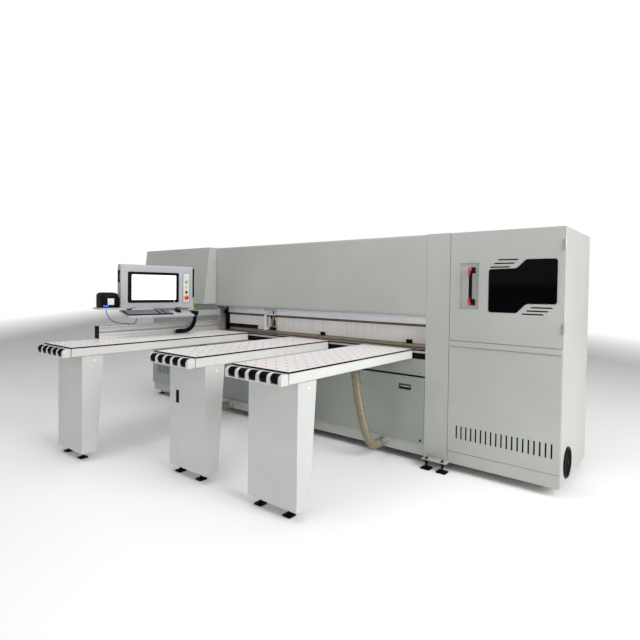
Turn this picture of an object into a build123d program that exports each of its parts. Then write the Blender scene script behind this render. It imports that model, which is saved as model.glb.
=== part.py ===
from build123d import *
import os
import math

# Panel saw (beam saw) with three air float tables, a side fence and a
# swivelling control console.  Millimetres.  +X runs along the pressure beam
# towards the electrical cabinet, +Y goes to the rear feed side, +Z is up.
# X = 0 is the middle of the length, Y = 0 the front plane, Z = 0 the floor.

# ---- driving dimensions -------------------------------------------------
X_LEFT = -2640.0          # left end of the machine
X_OPEN = -1277.0          # left wall of the cutting opening
X_COL = 1545.0            # left face of the column
X_CAB = 1760.0            # left face of the cabinet
X_CAB_R = 2628.0          # right face of the cabinet, without the hinges
Z_FEET = 70.0             # clearance under the base
Z_PLINTH = 170.0
Z_DOOR_TOP = 745.0
Z_RIM = 763.0
Z_RIM_TOP = 906.0
Z_TABLE = 990.0           # working height
Z_BEAM = 1280.0           # underside of the beam cover
Z_TOP = 1986.0
BASE_DEPTH = 680.0
CAB_DEPTH = 915.0
Y_CUT = 336.0             # cutting line
SLOT = 12.0               # width of the saw slot
TABLE_W = 528.0
TABLE_UNDER = 908.0
TABLES = [(-1218.0, -1966.0), (-43.0, -1592.0), (895.0, -1592.0)]
CAP_LEN = 66.0
ROLLER_R = 31.0
ROLLER_BACK = 39.0
ROLLER_Z = 950.0
ROLLER_PITCH = 99.0
LEG_W = 455.0
BLADE_R = 190.0
SCORE_R = 85.0
HOSE_R = 40.0
CONSOLE_TURN = -9.0
CONSOLE_AT = (-1227.0, -820.0)
CON_W = 800.0
CON_Z0 = 1272.0
CON_Z1 = 1735.0
REAR_END = 2036.0
SHEET = 3.0
FAN_AT = (228.0, 211.0)   # centre of the fan port on the right side
TRAY_BACK = -40.0         # the keyboard tray's rear edge, its height and its slope
TRAY_TOP = 1258.0
TRAY_SLOPE = 12.5
Y_CLAMP = 110.0           # front plane of the clamp beam's curtain
CURTAIN_LEFT = -1150.0
CYLINDERS = (-900, 134, 1168)


# ---- helpers ------------------------------------------------------------
def block(x0, x1, y0, y1, z0, z1):
    body = Box(x1 - x0, y1 - y0, z1 - z0)
    return Pos((x0 + x1) / 2, (y0 + y1) / 2, (z0 + z1) / 2) * body


def rod(axis, r, at, length):
    """Cylinder that starts at a point and runs along +axis."""
    body = Cylinder(r, length, align=(Align.CENTER, Align.CENTER, Align.MIN))
    turn = {"x": (0, 90, 0), "y": (-90, 0, 0), "z": (0, 0, 0)}[axis]
    return Pos(*at) * (Rot(*turn) * body)


def ring(axis, r_out, r_in, at, length):
    inner = rod(axis, r_in, at, length)
    return rod(axis, r_out, at, length) - inner


def profile_x(points, x0, x1):
    """Extrude a closed outline given as (y, z) from x0 to x1."""
    outline = Polyline(*[(0, y, z) for y, z in points], close=True)
    face = make_face(outline)
    return Pos(x0, 0, 0) * extrude(face, amount=x1 - x0, dir=(1, 0, 0))


def profile_y(points, y0, y1):
    """Extrude a closed outline given as (x, z) from y0 to y1."""
    outline = Polyline(*[(x, 0, z) for x, z in points], close=True)
    face = make_face(outline)
    return Pos(0, y0, 0) * extrude(face, amount=y1 - y0, dir=(0, 1, 0))


def shell(x0, x1, y0, y1, z0, z1, t, opened):
    """Sheet box with one side left open, named by its axis direction."""
    lo = [x0 + t, y0 + t, z0 + t]
    hi = [x1 - t, y1 - t, z1 - t]
    index = "xyz".index(opened[1])
    if opened[0] == "-":
        lo[index] = lo[index] - 2 * t
    else:
        hi[index] = hi[index] + 2 * t
    hollow = block(lo[0], hi[0], lo[1], hi[1], lo[2], hi[2])
    return block(x0, x1, y0, y1, z0, z1) - hollow


def save(node, *solids):
    flat = []
    for item in solids:
        flat.extend(item.solids())
    shape = flat[0] if len(flat) == 1 else Compound(children=flat)
    export_step(shape, f"parts/{node}.step")


# ---- base ---------------------------------------------------------------
def base_frame():
    """Welded trough with beams under the saw tables, rails and rack."""
    parts = [block(X_LEFT + 8, X_CAB - 8, 40, 664, 172, 180)]
    parts.append(block(X_LEFT + 8, X_COL, 664, 672, 172, 958))
    parts.append(block(X_LEFT + 8, X_LEFT + 16, 60, 664, 180, 900))
    parts.append(block(X_CAB - 16, X_CAB - 8, 40, 664, 180, 900))
    parts.append(block(X_OPEN, X_COL, 60, 120, 840, 958))
    parts.append(block(X_OPEN, X_COL, 604, 664, 840, 958))
    for x in (X_LEFT + 16, X_OPEN, 96, X_COL - 60):
        parts.append(block(x, x + 60, 60, 100, 180, 840))
    for y in (190, 510):
        foot_part = block(-2600, 1700, y - 14, y + 14, 180, 196)
        parts.append(foot_part + block(-2600, 1700, y - 9, y + 9, 196, 212))
    parts.append(block(-2600, 1700, 590, 612, 180, 226))
    return parts


def base_cover():
    """Upper front rim, fixed panels with the air slots at the left end."""
    rim = block(X_LEFT + 4, X_COL - 1, 0, 4, Z_RIM, Z_RIM_TOP)
    rim = rim + block(X_LEFT + 4, X_COL - 1, 4, 56, Z_RIM_TOP - 4, Z_RIM_TOP)
    rim = rim + block(X_LEFT + 4, X_COL - 1, 4, 56, Z_RIM, Z_RIM + 4)
    panel = block(X_OPEN + 2, 128, 22, 26, Z_PLINTH + 2, Z_DOOR_TOP + 14)
    end = block(X_LEFT + 4, X_OPEN, 2, 6, Z_PLINTH + 2, Z_DOOR_TOP + 14)
    for i in range(9):
        x = -2530 + i * 32
        end = end - block(x, x + 12, 0, 10, 314, 416)
    side = block(X_LEFT, X_LEFT + 4, 0, 672, Z_PLINTH + 2, Z_RIM_TOP)
    back = block(X_LEFT + 4, X_COL, 674, 678, Z_PLINTH + 2, Z_RIM_TOP)
    return [rim, panel, end, side, back]


def base_door():
    """Sliding front door, a sheet tray with a flush pull."""
    door = shell(132, X_COL - 3, 2, 18, Z_PLINTH + 2, Z_DOOR_TOP, 2.5, "+y")
    door = door - block(1293, 1409, 0, 6, 628, 669)
    cup = shell(1291, 1411, 4.5, 16, 626, 671, 2, "-y")
    return [door + cup]


def plinths():
    """Recessed plinth strips under the base and under the cabinet."""
    front = block(X_LEFT + 16, X_COL, 12, 16, Z_FEET, Z_PLINTH)
    for x0, y in TABLES:
        front = front - rod("y", 37, (x0 + 236, 5, 117), 30)
    parts = [front, block(X_LEFT + 16, X_COL, 656, 660, Z_FEET, Z_PLINTH)]
    parts.append(block(X_LEFT + 16, X_LEFT + 20, 16, 656, Z_FEET, Z_PLINTH))
    parts.append(shell(X_CAB + 2, X_CAB_R - 2, 0, 18, Z_FEET + 1, Z_PLINTH - 1, 2.5, "+y"))
    return parts


def foot(x, y, top, pad=70.0):
    """Levelling foot: square pad, stud and lock nut under a surface."""
    body = block(x - pad / 2, x + pad / 2, y - pad / 2, y + pad / 2, 0, 14)
    body = body + rod("z", 10, (x, y, 10), top - 10)
    return body + rod("z", 17, (x, y, top - 14), 14)


def foot_bracket():
    """Angle plate in front of the column that takes two feet."""
    plate = block(X_COL + 25, X_CAB + 30, -92, -0.2, 78, 84)
    plate = plate + block(X_COL + 25, X_CAB + 30, -4, -0.2, 84, 112)
    for x in (1609, 1751):
        plate = plate + rod("z", 15, (x, -68, 84), 10)
    return plate


def machine_feet():
    parts = [foot_bracket()]
    for x in (-2560, X_OPEN - 40, 100):
        for y in (90, 620):
            parts.append(foot(x, y, Z_PLINTH + 2))
    for x in (X_CAB + 150, X_CAB_R - 170):
        for y in (260, 790):
            parts.append(foot(x, y, Z_FEET))
    for x in (1609, 1751):
        parts.append(foot(x, -68, 78, 84))
    for x0, y in TABLES:
        for dx in (130, 400):
            parts.append(foot(x0 + dx, y + 156, Z_FEET))
    for x in (-1180, 1460):
        for y in (1150, 1930):
            parts.append(foot(x, y, Z_FEET))
    return parts


def saw_tables():
    """Front and rear steel tables either side of the saw slot."""
    front = block(X_OPEN + 2, X_COL - 2, 4, Y_CUT - SLOT / 2, 960, Z_TABLE)
    rear = block(X_OPEN + 2, X_COL - 2, Y_CUT + SLOT / 2, 668, 960, Z_TABLE)
    return [front, rear]


def edge_strips():
    """Black edging of the tables and the dark strip below the saw table."""
    parts = [block(X_OPEN + 2, X_COL - 2, 0, 3.8, 978, Z_TABLE)]
    parts.append(block(X_OPEN + 2, X_COL - 2, 10, 16, Z_RIM_TOP + 1, 959))
    for x0, y in TABLES:
        x1 = x0 + TABLE_W
        outer = block(x0, x1, y, -2, 980, Z_TABLE)
        parts.append(outer - block(x0 + 4, x1 - 4, y + 4, 5, 970, 1000))
    return parts


def left_end_frame():
    """Hollow block that carries the beam at the left, open below."""
    body = block(X_LEFT, X_OPEN, 0, 680, Z_RIM_TOP + 2, 1300)
    body = body - block(X_LEFT + 6, X_OPEN - 6, 6, 674, 900, 1294)
    return [body - block(X_OPEN - 20, X_OPEN + 10, 164, 672, 900, 1250)]


def left_housing():
    """Tall cover with a front that leans out towards the bottom."""
    outer = [(-100, Z_TOP), (-180, 1306), (664, 1306), (664, Z_TOP)]
    inner = [(-97, Z_TOP - 4), (-176, 1310), (660, 1310), (660, Z_TOP - 4)]
    body = profile_x(outer, X_LEFT, X_OPEN - 0.5)
    body = body - profile_x(inner, X_LEFT + 4, X_OPEN - 4.5)
    body = body - block(X_OPEN - 10, X_OPEN + 5, 170, 570, 1306, 1850)
    return [body - block(X_LEFT + 4, X_OPEN - 4.5, 10, 660, 1300, 1316)]


def column_cover():
    """Sheet column between the opening and the cabinet, open to the rear."""
    body = block(X_COL + 0.5, X_CAB - 2, 0, 660, Z_FEET, Z_TOP)
    hollow = block(X_COL + 4, X_CAB - 6, 4, 670, Z_FEET - 10, Z_TOP - 4)
    body = body - hollow
    tunnel = block(X_COL - 10, X_COL + 10, 164, 664, Z_PLINTH, 1850)
    floor_slot = block(X_COL - 10, X_COL + 10, 38, 670, Z_PLINTH, 184)
    return [body - tunnel - floor_slot]


# ---- cabinet ------------------------------------------------------------
def cabinet_shell():
    """Tall sheet cabinet, open at the front where door and panel sit."""
    t = SHEET
    parts = [block(X_CAB, X_CAB + t, 20, CAB_DEPTH, Z_FEET, Z_TOP)]
    right = block(X_CAB_R - t, X_CAB_R, 20, CAB_DEPTH, Z_FEET, Z_TOP)
    parts.append(right - rod("x", 105, (X_CAB_R - 20, *FAN_AT), 40))
    parts.append(block(X_CAB + t, X_CAB_R - t, CAB_DEPTH - t, CAB_DEPTH, Z_FEET, Z_TOP))
    parts.append(block(X_CAB + t, X_CAB_R - t, 20, CAB_DEPTH - t, Z_TOP - t, Z_TOP))
    parts.append(block(X_CAB + t, X_CAB_R - t, 20, CAB_DEPTH - t, Z_FEET, Z_FEET + t))
    parts.append(block(X_CAB + t, X_CAB_R - t, 20, 60, 1058, 1088))
    parts.append(block(X_CAB + 60, X_CAB_R - 60, 890, 896, 700, 1850))
    return parts


def cabinet_lower_panel():
    """Fixed lower panel with a row of upright air slots, and the lip."""
    x0 = X_CAB + 2
    x1 = X_CAB_R - 2
    panel = shell(x0, x1, 0, 18, Z_PLINTH + 2, 1046, 2.5, "+y")
    for i in range(19):
        x = 1838 + i * 40.7
        slot = block(x - 6, x + 6, -5, 6, 290, 388)
        slot = slot + rod("y", 6, (x, -5, 290), 11) + rod("y", 6, (x, -5, 388), 11)
        panel = panel - slot
    lip = block(x0, x1, -6, 18, 1049, 1093)
    return [panel, lip]


WINDOW = [(2082, 1341), (2082, 1680), (2294, 1684), (2364, 1752), (2584, 1752),
          (2584, 1417), (2368, 1415), (2298, 1342)]


def window_outline(grow, y0, y1):
    flat = [(x, 0, z) for x, z in WINDOW]
    face = make_face(Polyline(*flat, close=True))
    face = fillet(face.vertices(), 22)
    face = offset(face, amount=grow)
    return Pos(0, y0, 0) * extrude(face, amount=y1 - y0, dir=(0, 1, 0))


def cabinet_door():
    """Upper door: folded sheet with window, air slots and a dished pull."""
    x0 = X_CAB + 2
    x1 = X_CAB_R - 4
    door = shell(x0, x1, 0, 18, 1096, Z_TOP - 3, 2.5, "+y")
    door = door - window_outline(0.0, -5, 5)
    rows = [(2153, 2305, 1752), (2123, 2275, 1724), (2092, 2242, 1696)]
    rows = rows + [(2404, 2554, 1388), (2372, 2524, 1362), (2341, 2493, 1337)]
    for a, b, z in rows:
        door = door - block(a, b, -5, 5, z - 5, z + 5)
    door = door - block(1847, 2000, -5, 5, 1362, 1732)
    dish = shell(1845, 2002, 2.5, 14, 1360, 1734, 2, "-y")
    return [door + dish]


def door_window():
    pane = window_outline(-0.5, 0.4, 4.4)
    return [pane]


def door_handle():
    """Bow handle: upright grip on two posts, standing in the dish."""
    grip = rod("z", 14, (1945, -26, 1400), 290)
    low = block(1931, 1959, -26, 12, 1394, 1424)
    high = block(1931, 1959, -26, 12, 1665, 1695)
    return [grip + low + high]


def door_hinges():
    """Pin hinges at the right edge of the cabinet door."""
    parts = []
    for z in (1237, 1852):
        leaf = block(X_CAB_R - 3.5, X_CAB_R, -4, 19.8, z - 40, z + 40)
        pin = rod("z", 7, (X_CAB_R + 5, -6, z - 40), 80)
        bridge = block(X_CAB_R - 3.5, X_CAB_R + 5, -8, -4, z - 40, z + 40)
        parts.append(leaf + bridge + pin)
    return parts


def fan_ring():
    """Round fan guard on the right side of the cabinet."""
    x = X_CAB_R
    y, z = FAN_AT
    guard = ring("x", 118, 100, (x, y, z), 12)
    for r in (34, 67):
        guard = guard + ring("x", r + 2, r - 2, (x + 6, y, z), 5)
    guard = guard + block(x + 6, x + 11, y - 102, y + 102, z - 3, z + 3)
    guard = guard + block(x + 6, x + 11, y - 3, y + 3, z - 102, z + 102)
    spider = block(x - 62, x - 56, y - 104, y + 104, z - 14, z + 14)
    spider = spider + rod("x", 30, (x - 62, y, z), 28)
    tunnel = ring("x", 104.5, 101, (x - 62, y, z), 62)
    return [guard + tunnel + spider]


def fan_impeller():
    """Hub and seven raked blades in front of the fan motor."""
    x = X_CAB_R
    hub = rod("x", 32, (x - 30, *FAN_AT), 26)
    for i in range(7):
        blade = Pos(x - 17, 0, 0) * (Rot(0, 0, 28) * Box(3, 46, 68))
        blade = Pos(0, *FAN_AT) * (Rot(i * 360 / 7, 0, 0) * (Pos(0, 0, 60) * blade))
        hub = hub + blade
    return [hub]


# ---- beam ---------------------------------------------------------------
def beam_frame():
    """Rectangular main tube over the opening with its two end seats."""
    tube = block(X_OPEN - 300, X_COL + 190, 180, 560, 1420, 1800)
    tube = tube - block(X_OPEN - 310, X_COL + 200, 192, 548, 1432, 1788)
    for x in CYLINDERS:
        tube = tube - rod("z", 40, (x, 300, 1400), 60)
        tube = tube - rod("z", 40, (x, 300, 1780), 40)
    parts = [tube]
    for x in CYLINDERS:
        can = rod("z", 39.5, (x, 300, 1330), 560)
        parts.append(can - rod("z", 12.05, (x, 300, 1320), 520))
    parts.append(block(X_OPEN - 300, X_OPEN - 30, 180, 560, 1301, 1420))
    parts.append(block(X_COL + 10, X_COL + 190, 180, 560, 1260, 1420))
    return parts


def beam_cover():
    """Long folded cover with a rolled lower lip, open underneath."""
    outer = [(60, Z_BEAM), (22, Z_BEAM), (6, 1288), (0, 1304), (0, 1968)]
    outer = outer + [(4, 1980), (14, 1984), (660, 1984), (660, 1500), (657, 1500)]
    inner = [(657, 1981), (15, 1981), (7, 1978), (3, 1967), (3, 1305)]
    inner = inner + [(8, 1291), (23, 1283), (60, 1283)]
    return [profile_x(outer + inner, X_OPEN + 0.5, X_COL - 1)]


def valance():
    """Pale aluminium rail behind the cover's lip, and the post at its left end."""
    y = Y_CLAMP
    rail = block(CURTAIN_LEFT, X_COL - 2, y - 14, y + 8, 1205, 1300)
    for x in (-1000, 134, 1300):
        rail = rail + block(x, x + 60, y + 2, y + 8, 1300, 1446)
        rail = rail + block(x, x + 60, y + 8, 179.5, 1440, 1446)
    post = block(CURTAIN_LEFT - 60, CURTAIN_LEFT - 1, y + 10, y + 40, 1082, 1300)
    post = post + rod("y", 30, (CURTAIN_LEFT - 60, y - 10, 1208), 20)
    return [rail, post]


def pressure_beam():
    """Aluminium clamp beam: two walls, top web, pads and lift rods."""
    x0 = CURTAIN_LEFT + 4
    x1 = X_COL - 6
    y = Y_CLAMP + 10
    low = 994
    body = block(x0, x1, y, y + 26, low, 1180)
    body = body + block(x0, x1, 580, 606, low, 1180)
    body = body + block(x0, x1, y, 606, 1160, 1180)
    body = body + block(x0, x1, y, 300, low, 1028)
    body = body + block(x0, x1, 372, 606, low, 1028)
    for x in CYLINDERS:
        body = body + rod("z", 12, (x, 300, 1170), 400)
    return [body]


def strip_curtain():
    """Hanging clear strips in front of the clamp beam."""
    y = Y_CLAMP
    parts = []
    for i in range(44):
        x = CURTAIN_LEFT + 8 + i * 60.9
        parts.append(block(x, x + 58, y, y + 2, 1030, 1180))
    return parts


def curtain_rod():
    """Bronze coloured rod over the strips, with black stops at the bottom."""
    y = Y_CLAMP
    parts = [block(CURTAIN_LEFT + 4, X_COL - 8, y - 3, y + 9.9, 1180.3, 1204.5)]
    for x in (294, 1300):
        clip = block(x, x + 62, y - 9, y - 0.5, 1024, 1060)
        parts.append(clip + block(x, x + 62, y - 0.5, y + 10, 1024, 1029.8))
    return parts


def side_aligner():
    """Upright aligning arm that runs along the rail, with its small cylinders."""
    front = Y_CLAMP - 30
    back = Y_CLAMP - 14.2
    arm = block(-520, -340, front, back, 1200, 1262)
    arm = arm + block(-520, -484, front, back, 1025, 1200)
    arm = arm + rod("z", 13, (-408, front + 13, 1060), 144)
    arm = arm + rod("z", 9, (-360, front + 11, 1060), 144)
    return [arm + block(-432, -336, front, front + 18, 1034, 1066)]


# ---- saw carriage -------------------------------------------------------
CAR_X = -1760.0
MAIN_Z = 745.0
SCORE_Z = 797.0


def carriage():
    """Travelling plate with four rail shoes and the lift guides."""
    plate = block(CAR_X - 300, CAR_X + 300, 150, 600, 240, 260)
    for x in (CAR_X - 240, CAR_X + 160):
        for y in (190, 510):
            shoe = block(x, x + 80, y - 26, y + 26, 198, 240)
            plate = plate + (shoe - block(x, x + 80, y - 9.1, y + 9.1, 190, 212.3))
    pinion = ring("z", 24.5, 8, (CAR_X, 565, 206), 20)
    posts = block(CAR_X - 300, CAR_X - 272, 480, 560, 260, 800)
    posts = posts + block(CAR_X + 170, CAR_X + 198, 480, 560, 260, 800)
    posts = posts + rod("z", 8, (CAR_X, 565, 206), 40)
    return [plate + posts + pinion]


def saw_slide():
    """Lift plate with the main and scoring arbor housings."""
    plate = block(CAR_X - 268, CAR_X + 168, 484, 500, 430, 830)
    plate = plate - rod("y", 40, (CAR_X + 60, 470, MAIN_Z), 40)
    plate = plate - rod("y", 20, (CAR_X - 230, 470, SCORE_Z), 40)
    main = ring("y", 52, 20.05, (CAR_X + 60, 360, MAIN_Z), 124)
    score = ring("y", 30, 12.05, (CAR_X - 230, 360, SCORE_Z), 124)
    return [plate + main + score]


def saw_motor():
    """Ribbed motor bolted to the lift plate, shaft towards the front."""
    body = rod("y", 95, (CAR_X - 40, 350, 535), 134)
    for i in range(12):
        fin = Rot(0, i * 30, 0) * (Pos(0, 0, 100) * Box(6, 120, 16))
        body = body + Pos(CAR_X - 40, 417, 535) * fin
    return [body]


def saw_blade(x, z, radius, bore, teeth, body_t):
    """Toothed disc on its arbor; the arbor runs back into the housing."""
    disc = rod("y", radius - 6, (x, Y_CUT - body_t / 2, z), body_t)
    tip = Box(9, body_t + 1.2, 7)
    for i in range(teeth):
        tooth = Rot(0, i * 360 / teeth, 0) * (Pos(0, 0, radius - 7) * tip)
        disc = disc + Pos(x, Y_CUT, z) * tooth
    disc = disc + rod("y", bore, (x, Y_CUT - 14, z), 160)
    return disc + rod("y", bore * 2.1, (x, Y_CUT - 10, z), 18)


def main_blade():
    return [saw_blade(CAR_X + 60, MAIN_Z, BLADE_R, 20.0, 48, 3.2)]


def scoring_blade():
    return [saw_blade(CAR_X - 230, SCORE_Z, SCORE_R, 12.0, 24, 3.2)]


# ---- float tables -------------------------------------------------------
def table_boxes():
    """Sheet plenum of each table, plus its cast end cap."""
    parts = []
    for x0, y in TABLES:
        x1 = x0 + TABLE_W
        tray = shell(x0 + 1, x1 - 1, y + 1, -3, TABLE_UNDER, 979, SHEET, "+z")
        parts.append(tray - rod("z", 36, (x0 + HOSE_AT[0], HOSE_AT[1], 900), 20))
        parts.append(end_cap(x0, y))
    return parts


def end_cap(x0, y):
    """Rounded cap with five windows for the rollers, between six fins."""
    x1 = x0 + TABLE_W
    front = y - CAP_LEN
    outline = [(y - 0.2, TABLE_UNDER), (front + 6, TABLE_UNDER), (front, TABLE_UNDER + 6)]
    outline = outline + [(front, 946), (front + 4, 962), (front + 14, 973)]
    outline = outline + [(front + 28, 978), (y - 0.2, 979)]
    cap = profile_x(outline, x0 + 1, x1 - 1)
    for i in range(5):
        x = x0 + TABLE_W / 2 + (i - 2) * ROLLER_PITCH
        cap = cap - block(x - 33, x + 33, front - 5, y - 5, 916, 990)
    bore = rod("x", 8.05, (x0 + 14, y - ROLLER_BACK, ROLLER_Z), TABLE_W - 28)
    return cap - bore


def table_tops():
    """Laminated tops with rows of small air nozzle holes."""
    parts = []
    for x0, y in TABLES:
        x1 = x0 + TABLE_W
        top = block(x0 + 4.2, x1 - 4.2, y + 4.2, -3, 979.2, Z_TABLE)
        for row in range(int((-90 - y) // ROLLER_PITCH)):
            for column in (-2, -1, 0, 1, 2):
                x = x0 + TABLE_W / 2 + column * ROLLER_PITCH
                top = top - rod("z", 5, (x, y + 60 + row * ROLLER_PITCH, 984), 8)
        parts.append(top)
    return parts


def table_rollers(index):
    """Five grooved rollers on one shaft in the end cap."""
    x0, y = TABLES[index]
    centre = (y - ROLLER_BACK, ROLLER_Z)
    shaft = rod("x", 8, (x0 + 20, centre[0], centre[1]), TABLE_W - 40)
    for i in range(5):
        x = x0 + TABLE_W / 2 + (i - 2) * ROLLER_PITCH
        shaft = shaft + rod("x", 28.5, (x - 30, centre[0], centre[1]), 60)
        for k in range(6):
            at = (x - 29 + k * 10.2, centre[0], centre[1])
            shaft = shaft + rod("x", ROLLER_R, at, 7)
    return [shaft]


def leg_outline(y, t):
    top = TABLE_UNDER - 0.2 - t
    bottom = Z_FEET + t
    front = y + 92 + t
    return [(front, bottom), (y + 220 - t, bottom), (y + 278 - t, top), (front, top)]


def table_legs():
    """Tapered sheet legs, one wide leg under each table's front."""
    parts = []
    for i, (x0, y) in enumerate(TABLES):
        x1 = x0 + TABLE_W - 6
        leg = profile_x(leg_outline(y, 0), x1 - LEG_W, x1)
        leg = leg - profile_x(leg_outline(y, SHEET), x1 - LEG_W + SHEET, x1 - SHEET)
        leg = leg - block(x1 - LEG_W + 8, x1 - 8, y + 120, y + 190, 60, 80)
        strip = block(x1 - LEG_W + 60, x1 - 40, y + 120, y + 190, Z_FEET, Z_FEET + 6)
        if i == 1:
            leg = leg - block(105, 150, y + 80, y + 100, 580, 684)
        parts.append(leg)
        parts.append(strip)
    return parts


# ---- fence --------------------------------------------------------------
def fence_rail():
    """Aluminium stop rail beside the left table, with slots and end cap."""
    x0 = -1272
    x1 = -1200
    rail = block(x0, x1, -1480, -4, Z_TABLE + 1, 1112)
    rail = rail - block(x0 + 5, x1 - 5, -1500, 5, 1000, 1040)
    rail = rail - block(x0 + 5, x1 - 5, -1500, 5, 1048, 1105)
    rail = rail - block(x1 - 6, x1 + 2, -1500, 5, 1018, 1024)
    cap = block(x0 - 2, x1 + 2, -1488, -1480.2, Z_TABLE + 0.5, 1114)
    hold = block(x0 + 6, -1219, -1400, -1330, 930, Z_TABLE + 1)
    hold2 = block(x0 + 6, -1219, -300, -230, 930, Z_TABLE + 1)
    return [rail, cap, hold, hold2]


# ---- console ------------------------------------------------------------
def to_console(solid):
    """Local console frame: x out of the screen, y to the right, z up."""
    return Pos(CONSOLE_AT[0], CONSOLE_AT[1], 0) * (Rot(0, 0, CONSOLE_TURN) * solid)


def console_arm():
    """Square arm with the swivel post, and the plug at the conduit's end."""
    arm = block(-1262, -1200, -440, -0.2, 1171, 1236)
    arm = arm + block(-1300, -1190, -12, -0.2, 1150, 1260)
    arm = arm - block(-1256, -1206, -420, -30, 1177, 1230)
    arm = arm + block(-1200, -1142, -418, -354, 1188, 1232)
    plug = rod("y", 25, (-1153, -636, 1015.5), 74)
    return [arm + rod("z", 24, (-1231, -420, 1236), 26), plug]


def console_box():
    """Console housing with a rounded top edge and its swivel socket."""
    half = CON_W / 2
    outline = [(-86, CON_Z0), (0, CON_Z0), (0, CON_Z1 - 22), (-6, CON_Z1 - 6)]
    outline = outline + [(-22, CON_Z1), (-60, CON_Z1), (-86, CON_Z1 - 40)]
    face = make_face(Polyline(*[(x, 0, z) for x, z in outline], close=True))
    body = Pos(0, -half, 0) * extrude(face, amount=CON_W, dir=(0, 1, 0))
    body = body - block(-82, -4, -half + 4, half - 4, CON_Z0 + 4, CON_Z1 - 44)
    body = body - block(-10, 5, -326, 234, 1333, 1660)
    body = body - block(-10, 5, 283, 366, 1332, 1663)
    solid = to_console(body)
    plate = ring("z", 60, 24.05, (-1231, -420, 1238), CON_Z0 - 1238)
    return [solid, plate]


def monitor():
    """Flat monitor with a thin bezel and its screen pane."""
    case = block(-44, 2, -325.5, 233.5, 1333.5, 1659.5)
    case = case - block(-2, 6, -287, 202, 1363, 1631)
    screen = block(-1.8, 0.8, -286.8, 201.8, 1363.2, 1630.8)
    return [to_console(case), to_console(screen)]


BUTTONS = {"lamp_button": 1634, "start_button": 1562, "pause_button": 1505, "reset_button": 1447}
ESTOP_Z = 1386


def button_plate():
    """Raised switch plate with the holes and collars of the switches."""
    plate = block(-4, 2, 283.5, 365.5, 1332.5, 1662.5)
    for z in BUTTONS.values():
        plate = plate + rod("x", 19, (2, 325, z), 5)
        plate = plate - rod("x", 13.2, (-10, 325, z), 30)
    plate = plate + rod("x", 30, (2, 325, ESTOP_Z), 3)
    plate = plate - rod("x", 12.2, (-10, 325, ESTOP_Z), 30)
    return [to_console(plate)]


def push_button(z):
    cap = rod("x", 13, (-8, 325, z), 19)
    return [to_console(cap)]


def emergency_stop():
    """Mushroom head on a stem."""
    stem = rod("x", 12, (-8, 325, ESTOP_Z), 20)
    head = rod("x", 21, (12, 325, ESTOP_Z), 12)
    return [to_console(stem + head)]


def console_handles():
    """Two black bow handles on the console's sides."""
    right = rod("z", 13, (-34, 424, 1388), 326)
    right = right + block(-46, -22, 400.2, 428, 1388, 1414)
    right = right + block(-46, -22, 400.2, 428, 1688, 1714)
    left = rod("z", 9, (-20, -412, 1546), 126)
    left = left + block(-28, -12, -416, -400.2, 1546, 1564)
    left = left + block(-28, -12, -416, -400.2, 1654, 1672)
    return [to_console(right), to_console(left)]


def on_tray(solid):
    """Move a solid from the tray's own frame, where it lies flat, to its slope."""
    return to_console(Pos(TRAY_BACK, 0, TRAY_TOP) * Rot(0, TRAY_SLOPE, 0) * solid)


def keyboard_tray():
    """Sloping folded tray on two hangers below the console, plus the printer shelf."""
    tray = block(0, 258, -396, 322, -4, 0)
    tray = tray + block(254, 258, -396, 322, -18, -4)
    tray = tray + block(0, 258, -396, -392, -14, -4)
    tray = tray + block(0, 258, 318, 322, -14, -4)
    parts = [on_tray(tray)]
    for y in (-330, 190):
        hanger = block(-36, -32, y, y + 60, 1257, CON_Z0 - 0.2)
        parts[0] = parts[0] + to_console(hanger)
    shelf = block(-86, 120, -640, -402, 1284, 1288)
    shelf = shelf + block(116, 120, -640, -402, 1270, 1284)
    shelf = shelf + block(-80, -10, -404, -400.2, 1284, 1330)
    parts.append(to_console(shelf))
    return parts


def keyboard():
    """Slim keyboard with rows of raised key strips."""
    body = block(56, 222, -386, 94, 0.3, 12)
    for i in range(6):
        body = body + block(62 + i * 26, 84 + i * 26, -380, 88, 12, 17)
    return [on_tray(body)]


def mouse():
    body = block(60, 160, 164, 224, 0.3, 34)
    edges = body.edges().filter_by(Axis.Z)
    body = fillet(edges, 26)
    return [on_tray(body)]


def label_printer():
    """Desktop label printer with a sloped right shoulder and a paper slot."""
    outline = [(-613, 1288.3), (-437, 1288.3), (-437, 1382), (-462, 1430), (-480, 1438)]
    outline = outline + [(-594, 1438), (-613, 1418)]
    face = make_face(Polyline(*[(-80, y, z) for y, z in outline], close=True))
    body = extrude(face, amount=172, dir=(1, 0, 0))
    return [to_console(body - block(80, 100, -565, -490, 1392, 1398))]


# ---- hoses and cables ---------------------------------------------------
def tube_along(points, r, label):
    """Solid round cord through hand-set points with smooth corners."""
    vecs = [Vector(*p) for p in points]
    radii = []
    for i in range(1, len(vecs) - 1):
        a = vecs[i] - vecs[i - 1]
        b = vecs[i + 1] - vecs[i]
        turn = a.get_angle(b)
        run = min(a.length, b.length)
        radii.append(0.45 * run / math.tan(math.radians(turn / 2)))
    path = FilletPolyline(*vecs, radius=radii)
    section = Plane(origin=vecs[0], z_dir=vecs[1] - vecs[0]) * Circle(r)
    body = sweep(section, path=path)
    volume = math.pi * r * r * path.length
    print(label, "length", round(path.length), "radii", [round(v) for v in radii])
    print(label, "volume ratio", round(body.volume / volume, 4))
    return body


HOSE_AT = (147.0, -345.0)
HOSE_SHAPE = [(0, 0, 899), (25, 0, 668), (66, 28, 410), (84, 62, 270), (90, 128, 162), (90, 198, 119),
              (89, 274, 117)]


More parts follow.
